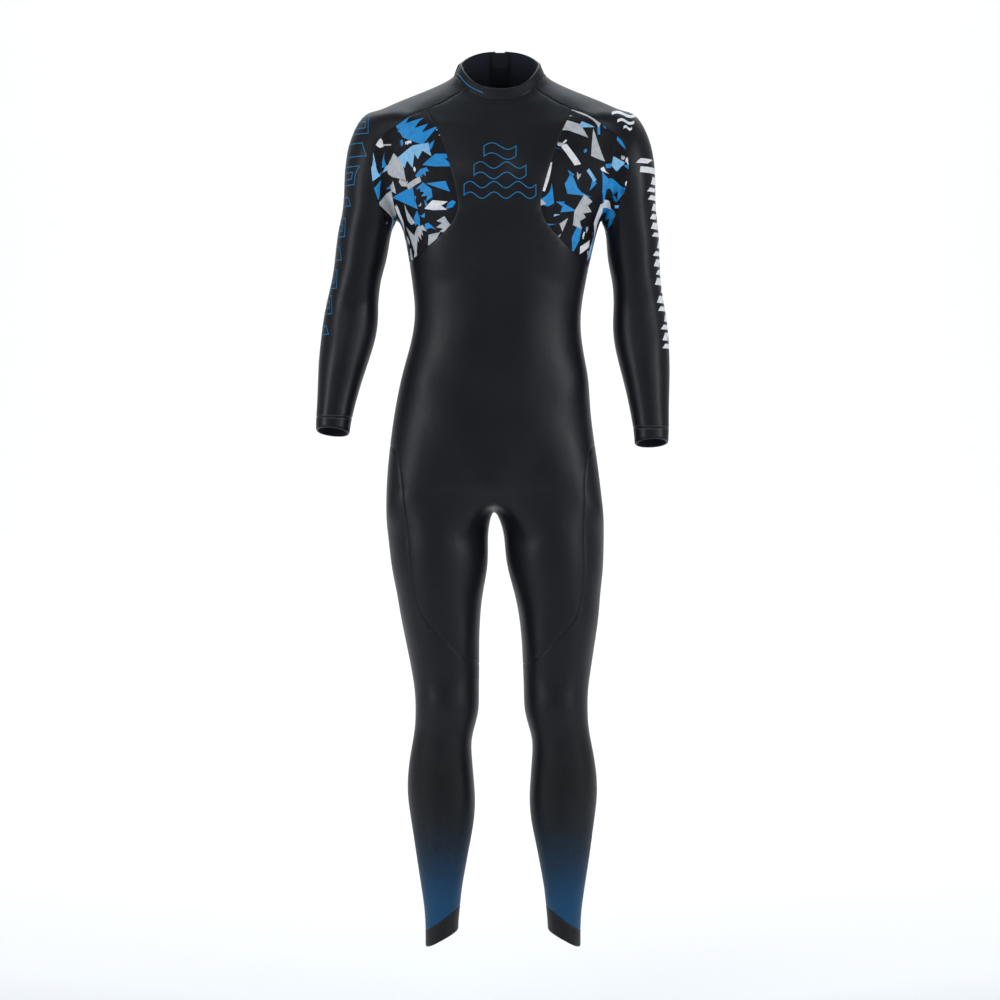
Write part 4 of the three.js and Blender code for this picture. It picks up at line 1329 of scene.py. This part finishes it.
def wrapped_strip(name, columns, rows, levels, grid, material, root=0.0, round_end=0.0, fuzz=0.0):
    """A strip round the collar and its flat size; over the share root it comes down to the collar, and over
    the share round_end it narrows."""
    nu, nv = grid
    rng = np.random.default_rng(7)
    outer, inner = [], []
    for i in range(nu + 1):
        u = i / nu
        squeeze = 1.0
        if round_end and u > 1 - round_end:
            squeeze = 0.55 + 0.45 * math.sqrt(max(0.0, 1 - ((u - 1 + round_end) / round_end) ** 2))
        settle = smoothstep(u / root) if root else 1.0
        for j in range(nv + 1):
            v = j / nv
            row = (rows[0] + rows[1]) / 2 + (rows[1] - rows[0]) * (v - 0.5) * squeeze
            column = columns[0] + (columns[1] - columns[0]) * u
            edge = max(abs(2 * v - 1), 2 * u - 1)
            low = ROOT_LEVEL + (levels[0] - ROOT_LEVEL) * settle
            high = low + (levels[1] - levels[0]) * (0.55 + 0.45 * settle)
            round_off = 0.32 * (high - low) * max(0.0, edge) ** 14
            lift = fuzz * rng.random()
            outer.append(smooth_torso_point(row, column, high - round_off + lift))
            inner.append(smooth_torso_point(row, column, low + round_off))
    n = (nu + 1) * (nv + 1)

    def at(i, j):
        return i * (nv + 1) + j

    faces = []
    for i in range(nu):
        for j in range(nv):
            faces.append([at(i, j), at(i, j + 1), at(i + 1, j + 1), at(i + 1, j)])
    faces += [[v + n for v in f[::-1]] for f in faces]
    rim = [at(i, 0) for i in range(nu + 1)] + [at(nu, j) for j in range(1, nv + 1)]
    rim += [at(i, nv) for i in range(nu - 1, -1, -1)] + [at(0, j) for j in range(nv - 1, 0, -1)]
    for a, b in zip(rim, rim[1:] + rim[:1]):
        faces.append([b, a, a + n, b + n][::-1])
    piece = new_mesh(name, outer + inner, faces, smooth=fuzz == 0.0, materials=[material])
    bm = bmesh.new()
    bm.from_mesh(piece.data)
    bmesh.ops.recalc_face_normals(bm, faces=bm.faces[:])
    bm.to_mesh(piece.data)
    bm.free()
    middle = [outer[at(i, nv // 2)] for i in range(nu + 1)]
    across = [outer[at(nu // 2, j)] for j in range(nv + 1)]
    return piece, (line_length(across) * MM, line_length(middle) * MM)


def woven_tape():
    n = Nodes("woven_tape", Roughness=0.8, Specular_IOR_Level=0.25, Sheen_Weight=0.2)
    a = n.math("SINE", n.math("MULTIPLY", n.axis(0), 2 * math.pi / (0.9 * MM)))
    b = n.math("SINE", n.math("MULTIPLY", n.axis(2), 2 * math.pi / (0.8 * MM)))
    weave = n.math("MULTIPLY", a, b)
    n.bumps((weave, 0.15), (n.noise(900.0), 0.05))
    return n.set(Base_Color=n.mix(n.ramp(weave, -1, 1), (0.006, 0.006, 0.0075, 1), (0.022, 0.022, 0.025, 1)))


def pile():
    n = Nodes("hook_and_loop_pile", Roughness=0.95, Specular_IOR_Level=0.15, Sheen_Weight=0.5,
              Sheen_Roughness=0.6)
    n.bumps((n.noise(1600.0, 4.0, 0.8), 0.4))
    return n.set(Base_Color=n.mix(n.noise(900.0), (0.004, 0.004, 0.005, 1), (0.03, 0.03, 0.034, 1)))


def moulded_teeth():
    n = Nodes("moulded_teeth", Specular_IOR_Level=0.5)
    n.bumps((n.noise(1400.0), 0.02))
    return n.set(Base_Color=n.mix(n.noise(260.0), (0.008, 0.008, 0.009, 1), (0.018, 0.018, 0.02, 1)),
                 Roughness=n.ramp(n.noise(400.0), 0.3, 0.7, 0.28, 0.42))


def enamel():
    """Black enamel, worn to bare metal in places; the zip's CAD parts wear it."""
    n = Nodes("black_enamel", Coat_Weight=0.4, Coat_Roughness=0.12)
    place = n.add("ShaderNodeTexCoord").outputs["Object"]
    worn = n.ramp(n.noise(420.0, 6.0, 0.7, vector=place), 0.62, 0.74)
    n.bumps((n.noise(900.0, 3.0, vector=place), 0.03))
    return n.set(Base_Color=n.mix(worn, (0.014, 0.014, 0.016, 1), (0.35, 0.35, 0.36, 1)), Metallic=worn,
                 Roughness=n.ramp(n.noise(150.0, vector=place), 0.3, 0.7, 0.22, 0.38))


# ---------------------------------------------------------------------------------------------- the suit
stage()
points, faces = refine(*body_cage())
points = shaped(points, faces)
coords, normals, polygons, panel_of = cut_panels(points, faces)
end_kind = border_kinds(polygons, panel_of)

SKINS = {"neoprene": neoprene_skin(), "pattern": pattern_knit(), "lower_leg": leg_knit(),
         "cuff": matte_cuff()}
LINING = lining_knit()


def slot_of(panel):
    if panel.endswith(("chest_panel", "underarm_panel")):
        return "pattern"
    if panel.endswith(("shin_panel", "calf_panel")):
        return "lower_leg"
    return "cuff" if panel.endswith("ankle_cuff") else "neoprene"


PANELS, PIECES = {}, {}
for name in sorted(set(panel_of) - {"slot"}):
    mine = [polygons[i] for i in np.nonzero(panel_of == name)[0]]
    panel = Panel(f"{name}_sheet", coords, normals, mine, end_kind)
    piece = panel.build(SKINS[slot_of(name)], LINING)
    nodes = [name]
    if name.endswith("upper_sleeve"):
        nodes.append(name.replace("upper_sleeve", "shoulder_panel"))
    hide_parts(*nodes)
    ride(piece, name)
    PANELS[name], PIECES[name] = panel, piece

INKS = [print_ink("ink_blue", (0.003, 0.25, 0.62)), print_ink("ink_light_blue", (0.24, 0.53, 0.82)),
        print_ink("ink_grey", (0.48, 0.50, 0.52)), print_ink("ink_white", (0.78, 0.79, 0.81)),
        print_ink("ink_deep_blue", (0.004, 0.17, 0.37))]
INK_NAMES = ("blue", "light_blue", "grey", "white")
ON = {name: [] for name in PANELS}


def printed(panel_name, label, ink, lay):
    """One ink's print on one panel."""
    ink_print = Print(0.14 + 0.05 * INKS.index(ink))
    lay(ink_print, PANELS[panel_name])
    if not ink_print.faces:
        return
    piece = ink_print.build(f"{panel_name}_{label}", ink)
    ride(piece, panel_name)
    ON[panel_name].append(piece)


rng = random.Random(41)
for side, word in SIDES:
    chest, underarm = f"{word}_chest_panel", f"{word}_underarm_panel"
    for name, mapped, low, high in (
            (chest, torso_map(PANELS[chest].points) * (side, 1), (30, -330), (330, 0)),
            (underarm, arm_map(PANELS[underarm].points, side), (-90, -290), (170, 0))):
        scraps = scatter(rng, low, high)
        for ink, ink_name in enumerate(INK_NAMES):
            shapes = [shape for i, shape in scraps if i == ink]
            printed(name, f"{ink_name}_print", INKS[ink],
                    lambda ink_print, p: ink_print.lay(p, mapped, shapes))


def outer_front(_, up):
    return up[:, 1] < 0.2


def on_front(shapes):
    return lambda ink_print, p: ink_print.lay(p, front_map(p.points), shapes, outer_front)


motif = []
for width, z in ((116, -166), (84, -134), (52, -102)):
    motif += stroke(wave(width, 17, 5.5, 0, z), 1.5, closed=True)
printed("front_torso_panel", "chest_motif", INKS[4], on_front(motif))

DASH_PITCH = 3.4
dashes = []
collar_line = np.array([(x, z + 7.5) for x, z in smooth_line([(-70, 27), (-52, 4), (-28, -10)])])
for a, b in zip(collar_line, collar_line[1:]):
    n = max(1, round(float(np.linalg.norm(b - a)) / DASH_PITCH))
    for k in range(n):
        start, end = a + (b - a) * (k + 0.12) / n, a + (b - a) * (k + 0.78) / n
        dashes += stroke([start, end], 1.5)
printed("collar", "collar_marks", INKS[0], on_front(dashes))

shoulder_waves = [wave(40, 5.5, 3.4, 203, -34), wave(28, 5.0, 3.0, 206, -47), wave(14, 4.5, 2.4, 209, -58)]
printed("left_upper_sleeve", "shoulder_mark", INKS[3], on_front(shoulder_waves))

# width, height and offset of each bar down the left sleeve, and the gap between them
BARS = ((20, 8, -6), (38, 10, 0), (24, 13, 7), (24, 7, -7), (38, 8, 0), (30, 12, 4), (20, 9, -8),
        (38, 11, 0), (26, 7, -6), (24, 13, 7), (38, 8, 0), (22, 12, -7), (32, 8, 3), (38, 12, 0),
        (20, 7, 8), (28, 12, -5), (38, 8, 0), (24, 12, 6), (34, 8, -2), (20, 13, -7), (38, 8, 0))
BAR_GAP = 5.2
# heights of the outlined blocks down the right sleeve, the step between them, and the line's width
BLOCKS = (30, 22, 30, 14, 30, 22, 30, 30, 14)
BLOCK_STEP, BLOCK_LINE = 42, 1.5

bars, blocks = [], []
v = -108
for width, height, offset in BARS:
    bars.append(slanted(62 + offset, v - height / 2, width, height, 5))
    v -= height + BAR_GAP
for i, height in enumerate(BLOCKS):
    v = -52 - BLOCK_STEP * i
    blocks += stroke(slanted(60, v, 34, height, 5), BLOCK_LINE, closed=True)
    if height == max(BLOCKS):
        blocks += stroke(slanted(60, v, 20, 11, 2), BLOCK_LINE, closed=True)


def outer_sleeve(points, _):
    return (np.abs(points[:, 0]) > 195) & (points[:, 1] < 70)


for side, word, shapes, ink, label in ((1, "left", bars, 3, "sleeve_bars"),
                                       (-1, "right", blocks, 4, "sleeve_blocks")):
    for part in ("upper_sleeve", "forearm_sleeve"):
        printed(f"{word}_{part}", label, INKS[ink],
                lambda ink_print, p: ink_print.lay(p, arm_map(p.points, side), shapes, outer_sleeve))

GREY_THREAD = thread("grey_thread", (0.085, 0.09, 0.10))
BLACK_THREAD = thread("black_thread", (0.012, 0.012, 0.014))


def sewn(panel, v):
    return panel.border_kind[v] == SEAM


def sewn_below(height):
    return lambda panel, v: sewn(panel, v) and panel.points[v][2] < height


def sew(label, panel, inset, wanted, material):
    piece = new_mesh(label, *stitch_row(PANELS[panel], inset, wanted), materials=[material])
    ride(piece, panel)
    return piece


for side, word in SIDES:
    forearm, wrist, ankle = f"{word}_forearm_sleeve", f"{word}_wrist_cuff", f"{word}_ankle_cuff"
    sew(f"{word}_wrist_stitches_upper", forearm, 2.4, sewn_below(-450), GREY_THREAD)
    ON[wrist].append(sew(f"{word}_wrist_stitches", wrist, 2.4, sewn, GREY_THREAD))
    ON[ankle].append(sew(f"{word}_ankle_stitches", ankle, 3.0, sewn, BLACK_THREAD))

TAPE, PILE = woven_tape(), pile()
for side, word in SIDES:
    xs = (2.6, 7.9) if side == 1 else (-7.9, -2.6)
    piece, _ = band(f"{word}_zip_tape_woven", xs, (ZIP_LOW - 5, ZIP_HIGH + 3), -2.6, -1.4, TAPE)
    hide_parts(f"{word}_zip_tape")
    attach(piece, "torso")
chain = zip_chain("zip_chain", moulded_teeth())
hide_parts("zip_teeth")
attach(chain, "torso")
underlap, flat = band("zip_underlap_strip", (-13, 13), (ZIP_LOW - 14, 80), -7.8, -6.4, SKINS["neoprene"],
                      back_y, soften=0.5, hang=0.004)
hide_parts("zip_underlap")
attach(underlap, "torso")

flap, flat = wrapped_strip("collar_flap_strip", (11.4, 16.8), (22.35, 23.6), (3.8, 6.3), (60, 10),
                           SKINS["neoprene"], root=0.16, round_end=0.08)
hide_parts("collar_flap")
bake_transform(flap)
for name, node, levels, body, under in (("hook_pad", "hook_patch", (2.4, 3.4), "flap", "collar_flap_strip"),
                                        ("loop_pad", "loop_patch", (1.0, 2.0), "torso", "collar_sheet")):
    pad, flat = wrapped_strip(name, (14.2, 16.6), (22.5, 23.45), levels, (80, 34), PILE, fuzz=0.3)
    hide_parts(node)
    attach(pad, body)
ENAMEL = enamel()
for node in ("zip_slider", "zip_pull_tab", "zip_top_stop", "zip_bottom_stop"):
    for material_slot in bpy.data.objects[node].material_slots:
        material_slot.material = ENAMEL

for name, piece in PIECES.items():
    sheet(piece, PANELS[name], ON[name])
